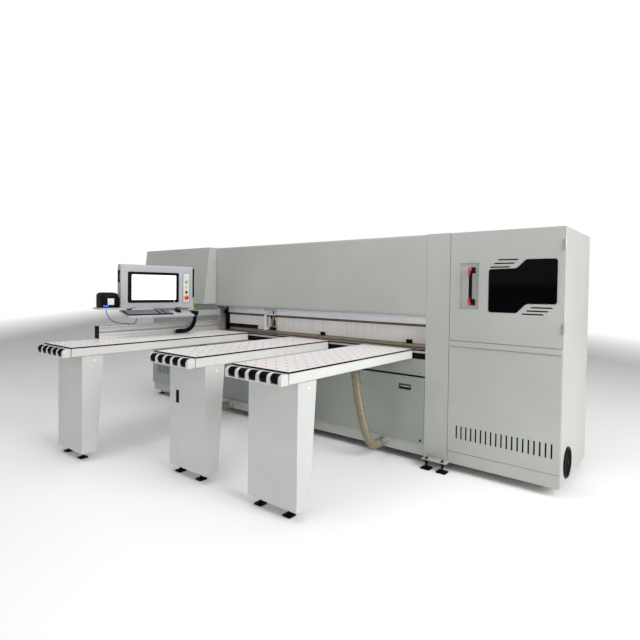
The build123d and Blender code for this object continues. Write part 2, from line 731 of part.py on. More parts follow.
def dust_hose(index):
    """Ribbed air hose from a table's plenum to the base plinth."""
    x0, y = TABLES[index]
    points = [(x0 + HOSE_AT[0] + dx, HOSE_AT[1] + dy, z) for dx, dy, z in HOSE_SHAPE]
    return [tube_along(points, HOSE_R, f"dust_hose_{index + 1}")]


def hose_couplings():
    """Stub pipes with clamps on the plinth, and collars under the tables."""
    parts = []
    for x0, y in TABLES:
        pipe = ring("y", 36, 32, (x0 + 236, -66, 117), 116)
        pipe = pipe + ring("y", 44, 36, (x0 + 236, -40, 117), 14)
        parts.append(pipe)
        parts.append(ring("z", 46, 36.2, (x0 + HOSE_AT[0], HOSE_AT[1], 904.2), 3.6))
    return parts


ARM_CONDUIT = [(-1168, -386, 1187.6), (-1167, -386.5, 1131), (-1165, -408.5, 1078),
               (-1162, -449, 1037), (-1158, -502, 1015.3), (-1153, -558, 1015)]


def arm_conduit():
    return [tube_along(ARM_CONDUIT, 22, "arm_conduit")]


PRINTER_CABLE = [(0, -541, 1283.8), (0, -540, 1262), (1, -538, 1232), (2, -520, 1193),
                 (4, -488, 1155), (6, -440, 1130), (8, -385, 1124), (9, -330, 1117),
                 (10, -285, 1110), (8, -252, 1120), (6, -237, 1150), (5, -234, 1190),
                 (5, -231, 1217), (4, -233, 1243)]


def printer_cable():
    moved = [to_console(Pos(*p) * Sphere(0.5)).center() for p in PRINTER_CABLE]
    points = [(p.X, p.Y, p.Z) for p in moved]
    return [tube_along(points, 3.5, "printer_cable")]


# ---- rear feed ----------------------------------------------------------
def rear_frame():
    """Side beams on legs behind the saw, track rails and support tracks."""
    parts = []
    for x in (-1220, 1420):
        parts.append(block(x, x + 80, 690, REAR_END, 1010, 1110))
        parts.append(block(x + 26, x + 54, 700, REAR_END - 10, 1110, 1130))
        for y in (1110, 1890):
            parts.append(block(x, x + 80, y, y + 80, Z_FEET, 1010))
    parts.append(block(-1140, 1420, 1900, 1950, 500, 580))
    for i in range(5):
        x = -1040 + i * 560
        parts.append(block(x, x + 60, 682, 1990, 940, 984))
        parts.append(block(x + 10, x + 50, 1905, 1945, 580, 940))
        parts.append(block(x + 10, x + 50, 690, 730, 900, 940))
    return parts


BRIDGE_Y = 1700.0


def pusher_bridge():
    """Travelling cross beam with end carriages and four gripper bases."""
    beam = block(-1130, 1410, BRIDGE_Y, BRIDGE_Y + 120, 1140, 1290)
    beam = beam - block(-1120, 1400, BRIDGE_Y + 8, BRIDGE_Y + 112, 1148, 1282)
    for x in (-1212, 1428):
        shoe = block(x, x + 64, BRIDGE_Y - 60, BRIDGE_Y + 180, 1112, 1160)
        shoe = shoe - block(x + 17.9, x + 46.1, BRIDGE_Y - 70, BRIDGE_Y + 190, 1100, 1130.2)
        beam = beam + shoe
    beam = beam + block(-1212, -1130, BRIDGE_Y, BRIDGE_Y + 120, 1160, 1290)
    beam = beam + block(1410, 1492, BRIDGE_Y, BRIDGE_Y + 120, 1160, 1290)
    for x in GRIP_X:
        base = block(x, x + 80, BRIDGE_Y - 20, BRIDGE_Y, 1000, 1290)
        base = base + block(x, x + 80, BRIDGE_Y - 160, BRIDGE_Y, 992, 1000)
        beam = beam + base
    return [beam]


GRIP_X = (-760, -200, 360, 920)


def gripper_jaws():
    """Upper jaws that lift to take a panel edge."""
    parts = []
    for x in GRIP_X:
        jaw = block(x + 10, x + 70, BRIDGE_Y - 158, BRIDGE_Y - 24, 1002, 1014)
        parts.append(jaw + block(x + 10, x + 70, BRIDGE_Y - 60, BRIDGE_Y - 24, 1014, 1090))
    return parts


def main():
    os.makedirs("parts", exist_ok=True)
    makers = [base_frame, base_cover, base_door, plinths, machine_feet,
              saw_tables, edge_strips, left_end_frame, left_housing,
              column_cover, cabinet_shell, cabinet_lower_panel, cabinet_door,
              door_window, door_handle, door_hinges, fan_ring, fan_impeller,
              beam_frame, beam_cover, valance, pressure_beam, strip_curtain,
              curtain_rod, side_aligner, carriage, saw_slide, saw_motor, main_blade,
              scoring_blade, table_boxes, table_tops, table_legs, fence_rail,
              console_arm, console_box, monitor, button_plate, emergency_stop,
              console_handles, keyboard_tray, keyboard, mouse, label_printer,
              hose_couplings, arm_conduit, printer_cable, rear_frame,
              pusher_bridge, gripper_jaws]
    for maker in makers:
        save(maker.__name__, *maker())
    for i in range(3):
        save(f"table_rollers_{i + 1}", *table_rollers(i))
        save(f"dust_hose_{i + 1}", *dust_hose(i))
    for name, z in BUTTONS.items():
        save(name, *push_button(z))


main()
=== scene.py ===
"""Panel saw with three air float tables: materials, fine detail, light and camera.

The CAD model gives the frame of the machine.  Every class below is one
sub-assembly of the saw: it holds its sizes in metres and builds and dresses
its own pieces.  +X runs along the beam to the cabinet, +Y to the rear, +Z up.
"""
import logging
import math
from collections.abc import Iterable, Sequence
from dataclasses import dataclass, field
from enum import Enum

import bmesh
import bpy
from mathutils import Matrix, Vector


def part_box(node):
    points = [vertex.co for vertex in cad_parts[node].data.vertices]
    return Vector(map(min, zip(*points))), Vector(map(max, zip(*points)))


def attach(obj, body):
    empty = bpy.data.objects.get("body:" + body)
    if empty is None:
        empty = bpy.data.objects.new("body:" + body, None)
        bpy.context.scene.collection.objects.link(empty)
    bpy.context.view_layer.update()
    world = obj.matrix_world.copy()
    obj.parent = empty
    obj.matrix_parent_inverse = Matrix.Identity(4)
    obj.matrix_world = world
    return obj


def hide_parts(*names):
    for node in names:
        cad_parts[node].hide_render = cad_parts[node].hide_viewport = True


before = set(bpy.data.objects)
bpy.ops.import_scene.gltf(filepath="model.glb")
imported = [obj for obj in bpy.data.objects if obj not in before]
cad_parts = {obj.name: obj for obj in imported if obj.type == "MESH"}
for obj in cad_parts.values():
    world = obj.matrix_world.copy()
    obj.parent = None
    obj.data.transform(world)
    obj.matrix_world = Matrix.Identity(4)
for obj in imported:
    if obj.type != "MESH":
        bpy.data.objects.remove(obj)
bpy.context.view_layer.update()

logging.basicConfig(level=logging.INFO, format="%(levelname)s %(message)s")
LOG = logging.getLogger("panel_saw")

Colour = tuple[float, float, float]
Point = tuple[float, float, float]
Pair = tuple[float, float]

# each float table's left edge and front seam; the hose's places are steps from the left edge
TABLES: tuple[Pair, ...] = ((-1.218, -1.966), (-0.043, -1.592), (0.895, -1.592))
HOSE_TOP: Pair = (0.147, -0.345)
HOSE_FOOT: float = 0.236
HOSE_FOOT_HEIGHT: float = 0.117


class Axis(Enum):
    """A machine axis, with its index as the value."""

    X = 0
    Y = 1
    Z = 2


class Body(Enum):
    """The moving groups of the machine, by the name the frame gives them."""

    FRAME = "frame"
    FRONT_DOOR = "sliding_door"
    CABINET_DOOR = "cabinet_door_leaf"
    CLAMP = "clamp_beam"
    ALIGNER = "aligner"
    CONSOLE = "console"
    PUSHER = "pusher"
    JAWS = "jaws"


# ---------------------------------------------------------------- materials
class Wire:
    """One node output that can be used in plain sums."""

    def __init__(self, board: "Board", socket: bpy.types.NodeSocket) -> None:
        """Keep the board that the socket belongs to."""
        self.board = board
        self.socket = socket

    def _sum(self, operation: str, first: object, second: object) -> "Wire":
        """Add one Math node.

        Args:
            operation: the Math node's operation.
            first: left value or wire.
            second: right value or wire.

        Returns:
            The result's wire.
        """
        made = self.board.node("ShaderNodeMath", {"operation": operation}, {0: first, 1: second})
        return Wire(self.board, made.outputs[0])

    def __add__(self, other: object) -> "Wire":
        """Sum of two values."""
        return self._sum("ADD", self, other)

    def __radd__(self, other: object) -> "Wire":
        """Sum with a plain number on the left."""
        return self._sum("ADD", other, self)

    def __sub__(self, other: object) -> "Wire":
        """Difference of two values."""
        return self._sum("SUBTRACT", self, other)

    def __rsub__(self, other: object) -> "Wire":
        """Difference from a plain number."""
        return self._sum("SUBTRACT", other, self)

    def __mul__(self, other: object) -> "Wire":
        """Product of two values."""
        return self._sum("MULTIPLY", self, other)

    def __rmul__(self, other: object) -> "Wire":
        """Product with a plain number on the left."""
        return self._sum("MULTIPLY", other, self)

    def __gt__(self, other: object) -> "Wire":
        """One where the value is above the other, else nought."""
        return self._sum("GREATER_THAN", self, other)

    def __mod__(self, other: object) -> "Wire":
        """Floored remainder."""
        return self._sum("FLOORED_MODULO", self, other)

    def least(self, other: object) -> "Wire":
        """The lower of two values."""
        return self._sum("MINIMUM", self, other)

    def most(self, other: object) -> "Wire":
        """The higher of two values."""
        return self._sum("MAXIMUM", self, other)

    def size(self) -> "Wire":
        """The value without its sign."""
        return self._sum("ABSOLUTE", self, 0.0)


class Board:
    """The nodes of one material."""

    def __init__(self, name: str) -> None:
        """Start a material with its main shader.

        Args:
            name: the finish's name.
        """
        self.material = bpy.data.materials.new(name)
        self.material.use_nodes = True
        self.tree = self.material.node_tree
        self.shader = self.tree.nodes["Principled BSDF"]
        place = self.node("ShaderNodeTexCoord")
        self.place = Wire(self, place.outputs["Object"])

    def node(self, kind: str, settings: dict | None = None, sockets: dict | None = None) -> bpy.types.Node:
        """Add any node.

        Args:
            kind: the node's type.
            settings: the node's own settings, and "stops" for a ramp.
            sockets: values or wires for its inputs, by name or index.

        Returns:
            The new node.
        """
        made = self.tree.nodes.new(kind)
        for key, value in (settings or {}).items():
            if key == "stops":
                self._ramp(made, value)
            else:
                setattr(made, key, value)
        for key, value in (sockets or {}).items():
            self.feed(made.inputs[key], value)
        return made

    @staticmethod
    def _ramp(made: bpy.types.Node, stops: Sequence[tuple[float, Colour]]) -> None:
        """Set the stops of a colour ramp.

        Args:
            made: the ramp node.
            stops: places from 0 to 1 with their colours.
        """
        ramp = made.color_ramp
        while len(ramp.elements) < len(stops):
            ramp.elements.new(0.5)
        for element, (place, colour) in zip(ramp.elements, stops):
            element.position = place
            element.color = (*colour, 1.0)

    def feed(self, socket: bpy.types.NodeSocket, value: object) -> None:
        """Link a wire to a socket, or set its value.

        Args:
            socket: an input.
            value: a wire, a number or a tuple.
        """
        if isinstance(value, Wire):
            self.tree.links.new(value.socket, socket)
        elif socket.type == "RGBA" and len(value) == 3:
            socket.default_value = (*value, 1.0)
        else:
            socket.default_value = value

    def set(self, **values: object) -> None:
        """Feed the main shader; underscores stand for spaces in socket names."""
        for key, value in values.items():
            self.feed(self.shader.inputs[key.replace("_", " ")], value)

    def stretched(self, scale: Point) -> Wire:
        """Object coordinates scaled by axis."""
        made = self.node("ShaderNodeMapping", None, {"Vector": self.place, "Scale": scale})
        return Wire(self, made.outputs[0])

    def noise(self, scale: float, detail: float = 3.0, stretch: Point = (1.0, 1.0, 1.0)) -> Wire:
        """Noise value from 0 to 1.

        Args:
            scale: features per metre.
            detail: octaves.
            stretch: factor by axis.

        Returns:
            The noise's factor.
        """
        sockets = {"Vector": self.stretched(stretch), "Scale": scale, "Detail": detail}
        return Wire(self, self.node("ShaderNodeTexNoise", None, sockets).outputs["Fac"])

    def axis(self, which: Axis) -> Wire:
        """One of the object coordinates, in metres."""
        made = self.node("ShaderNodeSeparateXYZ", None, {0: self.place})
        return Wire(self, made.outputs[which.value])

    def span(self, value: Wire, low: float, high: float, start: float = 0.0, end: float = 1.0) -> Wire:
        """Map a value from one span to another and clamp it.

        Args:
            value: what is mapped.
            low: value that gives start.
            high: value that gives end.
            start: lowest result.
            end: highest result.

        Returns:
            The mapped value.
        """
        made = self.node("ShaderNodeMapRange", None, {0: value, 1: low, 2: high, 3: start, 4: end})
        return Wire(self, made.outputs[0])

    def mix(self, factor: object, first: object, second: object) -> Wire:
        """Blend two colours by a factor."""
        made = self.node("ShaderNodeMix", {"data_type": "RGBA"}, {0: factor, 6: first, 7: second})
        return Wire(self, made.outputs[2])

    def rounded(self, radius: float) -> Wire:
        """Surface direction with its edges rounded."""
        made = self.node("ShaderNodeBevel", {"samples": 3}, {"Radius": radius})
        return Wire(self, made.outputs[0])

    def edges(self, soft: Wire, gain: float) -> Wire:
        """Mask of the edges, from a rounded direction.

        Args:
            soft: a direction from rounded().
            gain: how fast the mask fills.

        Returns:
            A value that is one at an edge and nought on a flat.
        """
        true = Wire(self, self.node("ShaderNodeNewGeometry").outputs["Normal"])
        dot = self.node("ShaderNodeVectorMath", {"operation": "DOT_PRODUCT"}, {0: soft, 1: true})
        return ((1.0 - Wire(self, dot.outputs["Value"])) * gain).least(1.0)

    def bump(self, height: Wire, depth: float, strength: float = 1.0, under: Wire | None = None) -> Wire:
        """Surface direction with a height pattern.

        Args:
            height: the pattern, 0 to 1.
            depth: metres from low to high.
            strength: share of the effect.
            under: a direction to build on.

        Returns:
            The bumped direction.
        """
        sockets = {"Height": height, "Distance": depth, "Strength": strength}
        if under is not None:
            sockets["Normal"] = under
        return Wire(self, self.node("ShaderNodeBump", None, sockets).outputs[0])


def shade(colour: Colour, factor: float) -> Colour:
    """A colour made lighter or darker."""
    return tuple(min(1.0, part * factor) for part in colour)


@dataclass(frozen=True)
class Paint:
    """Powder coat on sheet steel: orange peel, faint clouding, paler rubbed edges."""

    name: str
    colour: Colour
    rough: float = 0.44
    cloud: float = 0.05
    coat: float = 0.12
    edge: float = 1.22

    def build(self) -> bpy.types.Material:
        """Make the material."""
        board = Board(self.name)
        soft = board.rounded(0.0022)
        rubbed = board.edges(soft, 2.5) * board.span(board.noise(26.0, 4.0), 0.35, 0.7)
        clouds = board.noise(1.3, 3.0)
        grime = board.span(board.noise(9.0, 6.0), 0.52, 0.8) * 0.5
        light, dark = shade(self.colour, 1 + self.cloud), shade(self.colour, 1 - 1.4 * self.cloud)
        base = board.mix(board.span(clouds, 0.3, 0.7), dark, light)
        base = board.mix(grime * 0.14, base, shade(self.colour, 0.55))
        base = board.mix(rubbed * 0.55, base, shade(self.colour, self.edge))
        peel = board.noise(430.0, 2.0)
        board.set(Base_Color=base, Roughness=self.rough + board.noise(55.0, 3.0) * 0.1 - rubbed * 0.08,
                  Normal=board.bump(peel, 0.00025, 0.45, soft), Coat_Weight=self.coat, Coat_Roughness=0.25)
        return board.material


@dataclass(frozen=True)
class Metal:
    """Bare metal with a drawn or brushed grain along one axis."""

    name: str
    colour: Colour
    grain: Axis
    rough: float = 0.34
    shine: float = 1.0
    stain: float = 0.12
    edge_radius: float = 0.0008

    def build(self) -> bpy.types.Material:
        """Make the material."""
        board = Board(self.name)
        along = tuple(0.02 if axis is self.grain else 1.0 for axis in Axis)
        soft = board.rounded(self.edge_radius)
        lines = board.noise(900.0, 3.0, along)
        broad = board.noise(60.0, 4.0, along)
        marks = board.span(board.noise(14.0, 6.0), 0.48, 0.75)
        base = board.mix(board.span(broad, 0.3, 0.7), shade(self.colour, 0.88), shade(self.colour, 1.08))
        base = board.mix(marks * self.stain, base, shade(self.colour, 0.45))
        base = board.mix(board.edges(soft, 3.0) * 0.5, base, shade(self.colour, 1.3))
        rough = self.rough + lines * 0.12 + marks * 0.14
        board.set(Base_Color=base, Roughness=rough, Metallic=self.shine,
                  Normal=board.bump(lines, 0.00012, 0.5, soft))
        return board.material


@dataclass(frozen=True)
class Plastic:
    """Moulded plastic or rubber with a fine grain and paler scuffed edges."""

    name: str
    colour: Colour
    rough: float = 0.45
    grain: float = 900.0
    depth: float = 0.00012
    glow: float = 0.0
    coat: float = 0.0
    edge: float = 1.8
    gloss: float = 0.5

    def build(self) -> bpy.types.Material:
        """Make the material."""
        board = Board(self.name)
        soft = board.rounded(0.0008)
        speck = board.noise(self.grain, 2.0)
        dust = board.span(board.noise(38.0, 5.0), 0.45, 0.8)
        base = board.mix(dust * 0.12, self.colour, shade(self.colour, 1.35))
        base = board.mix(board.edges(soft, 2.0) * 0.35, base, shade(self.colour, self.edge))
        board.set(Base_Color=base, Roughness=self.rough + dust * 0.12 + speck * 0.06,
                  Normal=board.bump(speck, self.depth, 0.5, soft), Coat_Weight=self.coat,
                  Specular_IOR_Level=self.gloss)
        if self.glow:
            board.set(Emission_Color=base, Emission_Strength=self.glow)
        return board.material


@dataclass(frozen=True)
class Laminate:
    """Pale phenolic table top: warm white with fine grey and rosy flecks and wear."""

    name: str
    colour: Colour

    def build(self) -> bpy.types.Material:
        """Make the material."""
        board = Board(self.name)
        soft = board.rounded(0.001)
        fleck = board.span(board.noise(210.0, 2.0), 0.60, 0.68)
        rosy = board.span(board.noise(120.0, 3.0), 0.56, 0.70)
        slide = board.noise(46.0, 4.0, (1.0, 0.05, 1.0))
        base = board.mix(board.span(board.noise(2.2), 0.3, 0.7), self.colour, shade(self.colour, 0.95))
        base = board.mix(rosy * 0.35, base, (0.80, 0.70, 0.71))
        base = board.mix(fleck * 0.45, base, (0.52, 0.50, 0.50))
        base = board.mix(board.span(slide, 0.55, 0.8) * 0.18, base, shade(self.colour, 0.8))
        board.set(Base_Color=base, Roughness=0.30 + slide * 0.16,
                  Normal=board.bump(slide, 0.0001, 0.35, soft), Coat_Weight=0.15)
        return board.material


@dataclass(frozen=True)
class SmokedPane:
    """Near black polished sheet with a cool cast and fine wiping marks."""

    name: str
    colour: Colour

    def build(self) -> bpy.types.Material:
        """Make the material."""
        board = Board(self.name)
        haze = board.noise(3.0, 2.0)
        wipe = board.noise(40.0, 4.0, (1.0, 1.0, 0.12))
        base = board.mix(board.span(haze, 0.35, 0.65), self.colour, shade(self.colour, 2.6))
        board.set(Base_Color=base, Roughness=0.05 + board.span(wipe, 0.5, 0.8) * 0.06,
                  Specular_IOR_Level=0.05)
        return board.material


@dataclass(frozen=True)
class LitScreen:
    """A lit display with soft pale bands, a header and a side column, no words."""

    name: str
    glow: float
    low: Point
    high: Point

    def build(self) -> bpy.types.Material:
        """Make the material."""
        board = Board(self.name)
        across = board.span(board.axis(Axis.Y), self.low[1], self.high[1])
        up = board.span(board.axis(Axis.Z), self.low[2], self.high[2])
        header = up > 0.93
        footer = 1.0 - (up > 0.05)
        column = 1.0 - (across > 0.16)
        rows = ((up * 14.0) % 1.0 > 0.9) * column
        base = board.mix(header.most(footer), (0.93, 0.95, 0.97), (0.70, 0.76, 0.84))
        base = board.mix(column * 0.35, base, (0.78, 0.83, 0.88))
        base = board.mix(rows * 0.4, base, (0.60, 0.66, 0.74))
        fine = board.noise(1500.0, 1.0)
        board.set(Base_Color=base, Emission_Color=base, Emission_Strength=self.glow,
                  Roughness=0.22 + fine * 0.05, Normal=board.bump(fine, 0.00003, 0.3))
        return board.material


@dataclass(frozen=True)
class ClearStrip:
    """Milky strip curtain plastic, streaked from top to bottom."""

    name: str
    colour: Colour

    def build(self) -> bpy.types.Material:
        """Make the material."""
        board = Board(self.name)
        streak = board.noise(120.0, 3.0, (1.0, 1.0, 0.04))
        dusty = board.span(board.axis(Axis.Z), 1.03, 1.12, 1.0, 0.0)
        base = board.mix(board.span(streak, 0.35, 0.7), self.colour, shade(self.colour, 0.78))
        base = board.mix(dusty * 0.35, base, (0.52, 0.47, 0.38))
        board.set(Base_Color=base, Roughness=0.28 + streak * 0.2, Alpha=0.86 + streak * 0.14,
                  Normal=board.bump(streak, 0.0004, 0.5), Coat_Weight=0.2)
        return board.material


@dataclass(frozen=True)
class SawSteel:
    """Ground saw blade steel with rings about its arbor."""

    name: str
    colour: Colour
    centre: Point

    def build(self) -> bpy.types.Material:
        """Make the material."""
        board = Board(self.name)
        moved = board.node("ShaderNodeVectorMath", {"operation": "SUBTRACT"},
                           {0: board.stretched((1.0, 0.0, 1.0)), 1: (self.centre[0], 0.0, self.centre[2])})
        away = board.node("ShaderNodeVectorMath", {"operation": "LENGTH"}, {0: Wire(board, moved.outputs[0])})
        radius = Wire(board, away.outputs["Value"])
        ring = board.node("ShaderNodeTexNoise", {"noise_dimensions": "1D"},
                          {"W": radius * 900.0, "Scale": 1.0, "Detail": 2.0})
        lines = Wire(board, ring.outputs["Fac"])
        soot = board.noise(20.0, 5.0)
        base = board.mix(board.span(soot, 0.45, 0.8) * 0.35, self.colour, shade(self.colour, 0.5))
        board.set(Base_Color=base, Metallic=1.0, Roughness=0.22 + lines * 0.2,
                  Normal=board.bump(lines, 0.0001, 0.5))
        return board.material


@dataclass(frozen=True)
class StudioFloor:
    """Plain pale floor that the camera sees fade to white.

    The fade follows the mean of the floor's coordinates, so it is strongest
    towards the rear right and the front left, not even all round.
    """

    name: str = "studio_floor"
    colour: Colour = (0.95, 0.95, 0.95)
    fade_from: float = 3.4
    fade_to: float = 5.5

    def build(self) -> bpy.types.Material:
        """Make the material."""
        board = Board(self.name)
        soft = board.noise(0.5, 2.0)
        base = board.mix(soft, self.colour, shade(self.colour, 1.03))
        board.set(Base_Color=base, Roughness=0.75 + soft * 0.1, Specular_IOR_Level=0.1)
        seen = Wire(board, board.node("ShaderNodeLightPath").outputs["Is Camera Ray"])
        faded = board.span(board.place.size(), self.fade_from, self.fade_to) * seen
        white = board.node("ShaderNodeEmission", None, {"Color": (1.0, 1.0, 1.0), "Strength": 1.0})
        blend = board.node("ShaderNodeMixShader", None, {0: faded, 1: Wire(board, board.shader.outputs[0]),
                                                         2: Wire(board, white.outputs[0])})
        board.tree.links.new(blend.outputs[0], board.tree.nodes["Material Output"].inputs["Surface"])
        return board.material


class Finish(Enum):
    """Every finish on the machine."""

    FRONT_PAINT = Paint("front_paint", (0.442, 0.456, 0.428))
    # base paint: the front paint darkened as painted shade for the base front under the tables; its higher gloss is
    # its own
    BASE_PAINT = Paint("base_paint_painted_shade", (0.310, 0.332, 0.308), rough=0.36, coat=0.25)
    # shell paint: the cabinet's paint made lighter than the front paint, as painted light for its brightly lit right
    # side; the pusher bridge shares it
    SHELL_PAINT = Paint("shell_paint_painted_light", (0.490, 0.503, 0.470))
    LEG_PAINT = Paint("leg_paint", (0.600, 0.618, 0.600))
    TABLE_PAINT = Paint("table_paint", (0.660, 0.665, 0.640))
    CONSOLE_PAINT = Paint("console_paint", (0.450, 0.450, 0.475), rough=0.38)
    FRAME_PAINT = Paint("frame_paint", (0.330, 0.350, 0.340))
    MOTOR_PAINT = Paint("motor_blue", (0.120, 0.160, 0.210), rough=0.5)
    RAIL_ALUMINIUM = Metal("rail_aluminium", (0.880, 0.870, 0.920), Axis.X, rough=0.36, shine=0.6)
    FENCE_ALUMINIUM = Metal("fence_aluminium", (0.620, 0.620, 0.610), Axis.Y, rough=0.38, shine=0.85)
    CLAMP_ALUMINIUM = Metal("clamp_aluminium", (0.360, 0.300, 0.230), Axis.X, rough=0.40, shine=0.8)
    TABLE_STEEL = Metal("table_steel", (0.560, 0.560, 0.550), Axis.X, rough=0.30)
    PLATE_STEEL = Metal("plate_steel", (0.520, 0.530, 0.540), Axis.Z, rough=0.36)
    BRIGHT_STEEL = Metal("bright_steel", (0.700, 0.700, 0.700), Axis.Y, rough=0.22, stain=0.06)
    BRONZE = Metal("bronze_rod", (0.170, 0.138, 0.095), Axis.X, rough=0.30, stain=0.5)
    BRASS = Metal("brass_fitting", (0.400, 0.310, 0.160), Axis.Z, rough=0.28)
    DARK_METAL = Metal("dark_metal", (0.030, 0.030, 0.030), Axis.Z, rough=0.40, shine=0.6)
    # black edging: near black on the CAD edge strips at 0.907 to 0.959 m, a dark band painted where the recess under
    # the rim lies in shade
    BLACK_EDGE = Plastic("recess_shade_black", (0.004, 0.0036, 0.0036), rough=0.42, gloss=0.08)
    BLACK_PLASTIC = Plastic("satin_black", (0.0030, 0.0030, 0.0036), rough=0.38, gloss=0.08)
    BLACK_RUBBER = Plastic("matt_rubber", (0.0030, 0.0030, 0.0030), rough=0.55, gloss=0.08, grain=500.0, depth=0.0003)
    MONITOR_BLACK = Plastic("bezel_black", (0.0030, 0.0030, 0.0036), rough=0.25, gloss=0.10)
    GREY_KEYS = Plastic("grey_keys", (0.170, 0.165, 0.200), rough=0.5)
    HOSE = Plastic("hose_skin", (0.215, 0.188, 0.122), rough=0.22, coat=0.4, edge=1.3)
    RED_CAP = Plastic("red_cap", (0.620, 0.012, 0.012), rough=0.25, coat=0.4, edge=1.2)
    MINT_LAMP = Plastic("mint_lamp", (0.300, 0.800, 0.620), rough=0.25, glow=0.7, edge=1.1)
    GREEN_CAP = Plastic("green_cap", (0.020, 0.420, 0.130), rough=0.25, glow=0.25, coat=0.4, edge=1.2)
    LIME_GRIP = Plastic("lime_grip", (0.250, 0.640, 0.030), rough=0.3, coat=0.3, edge=1.2)
    AMBER_CAP = Plastic("amber_cap", (0.900, 0.480, 0.020), rough=0.25, glow=0.3, coat=0.4, edge=1.1)
    YELLOW_PLATE = Plastic("yellow_plate", (0.900, 0.560, 0.030), rough=0.4, edge=1.1)
    WHITE_PLASTIC = Plastic("white_plastic", (0.720, 0.720, 0.700), rough=0.4, edge=1.1)
    BLUE_LED = Plastic("blue_light", (0.004, 0.060, 1.000), rough=0.3, glow=1.8, edge=1.0)
    ORANGE_LED = Plastic("orange_light", (1.000, 0.300, 0.020), rough=0.3, glow=4.0, edge=1.0)
    ORANGE_RIM = Plastic("orange_rim", (0.720, 0.430, 0.290), rough=0.45, edge=1.1)
    GREY_DUCT = Plastic("grey_duct", (0.420, 0.440, 0.450), rough=0.5, edge=1.2)
    TABLE_TOP = Laminate("table_laminate", (0.900, 0.850, 0.848))
    WINDOW = SmokedPane("smoked_pane", (0.0006, 0.0007, 0.0011))
    CURTAIN = ClearStrip("strip_plastic", (0.860, 0.850, 0.830))

    def material(self) -> bpy.types.Material:
        """The finish's material, made the first time it is asked for."""
        return bpy.data.materials.get(self.value.name) or self.value.build()


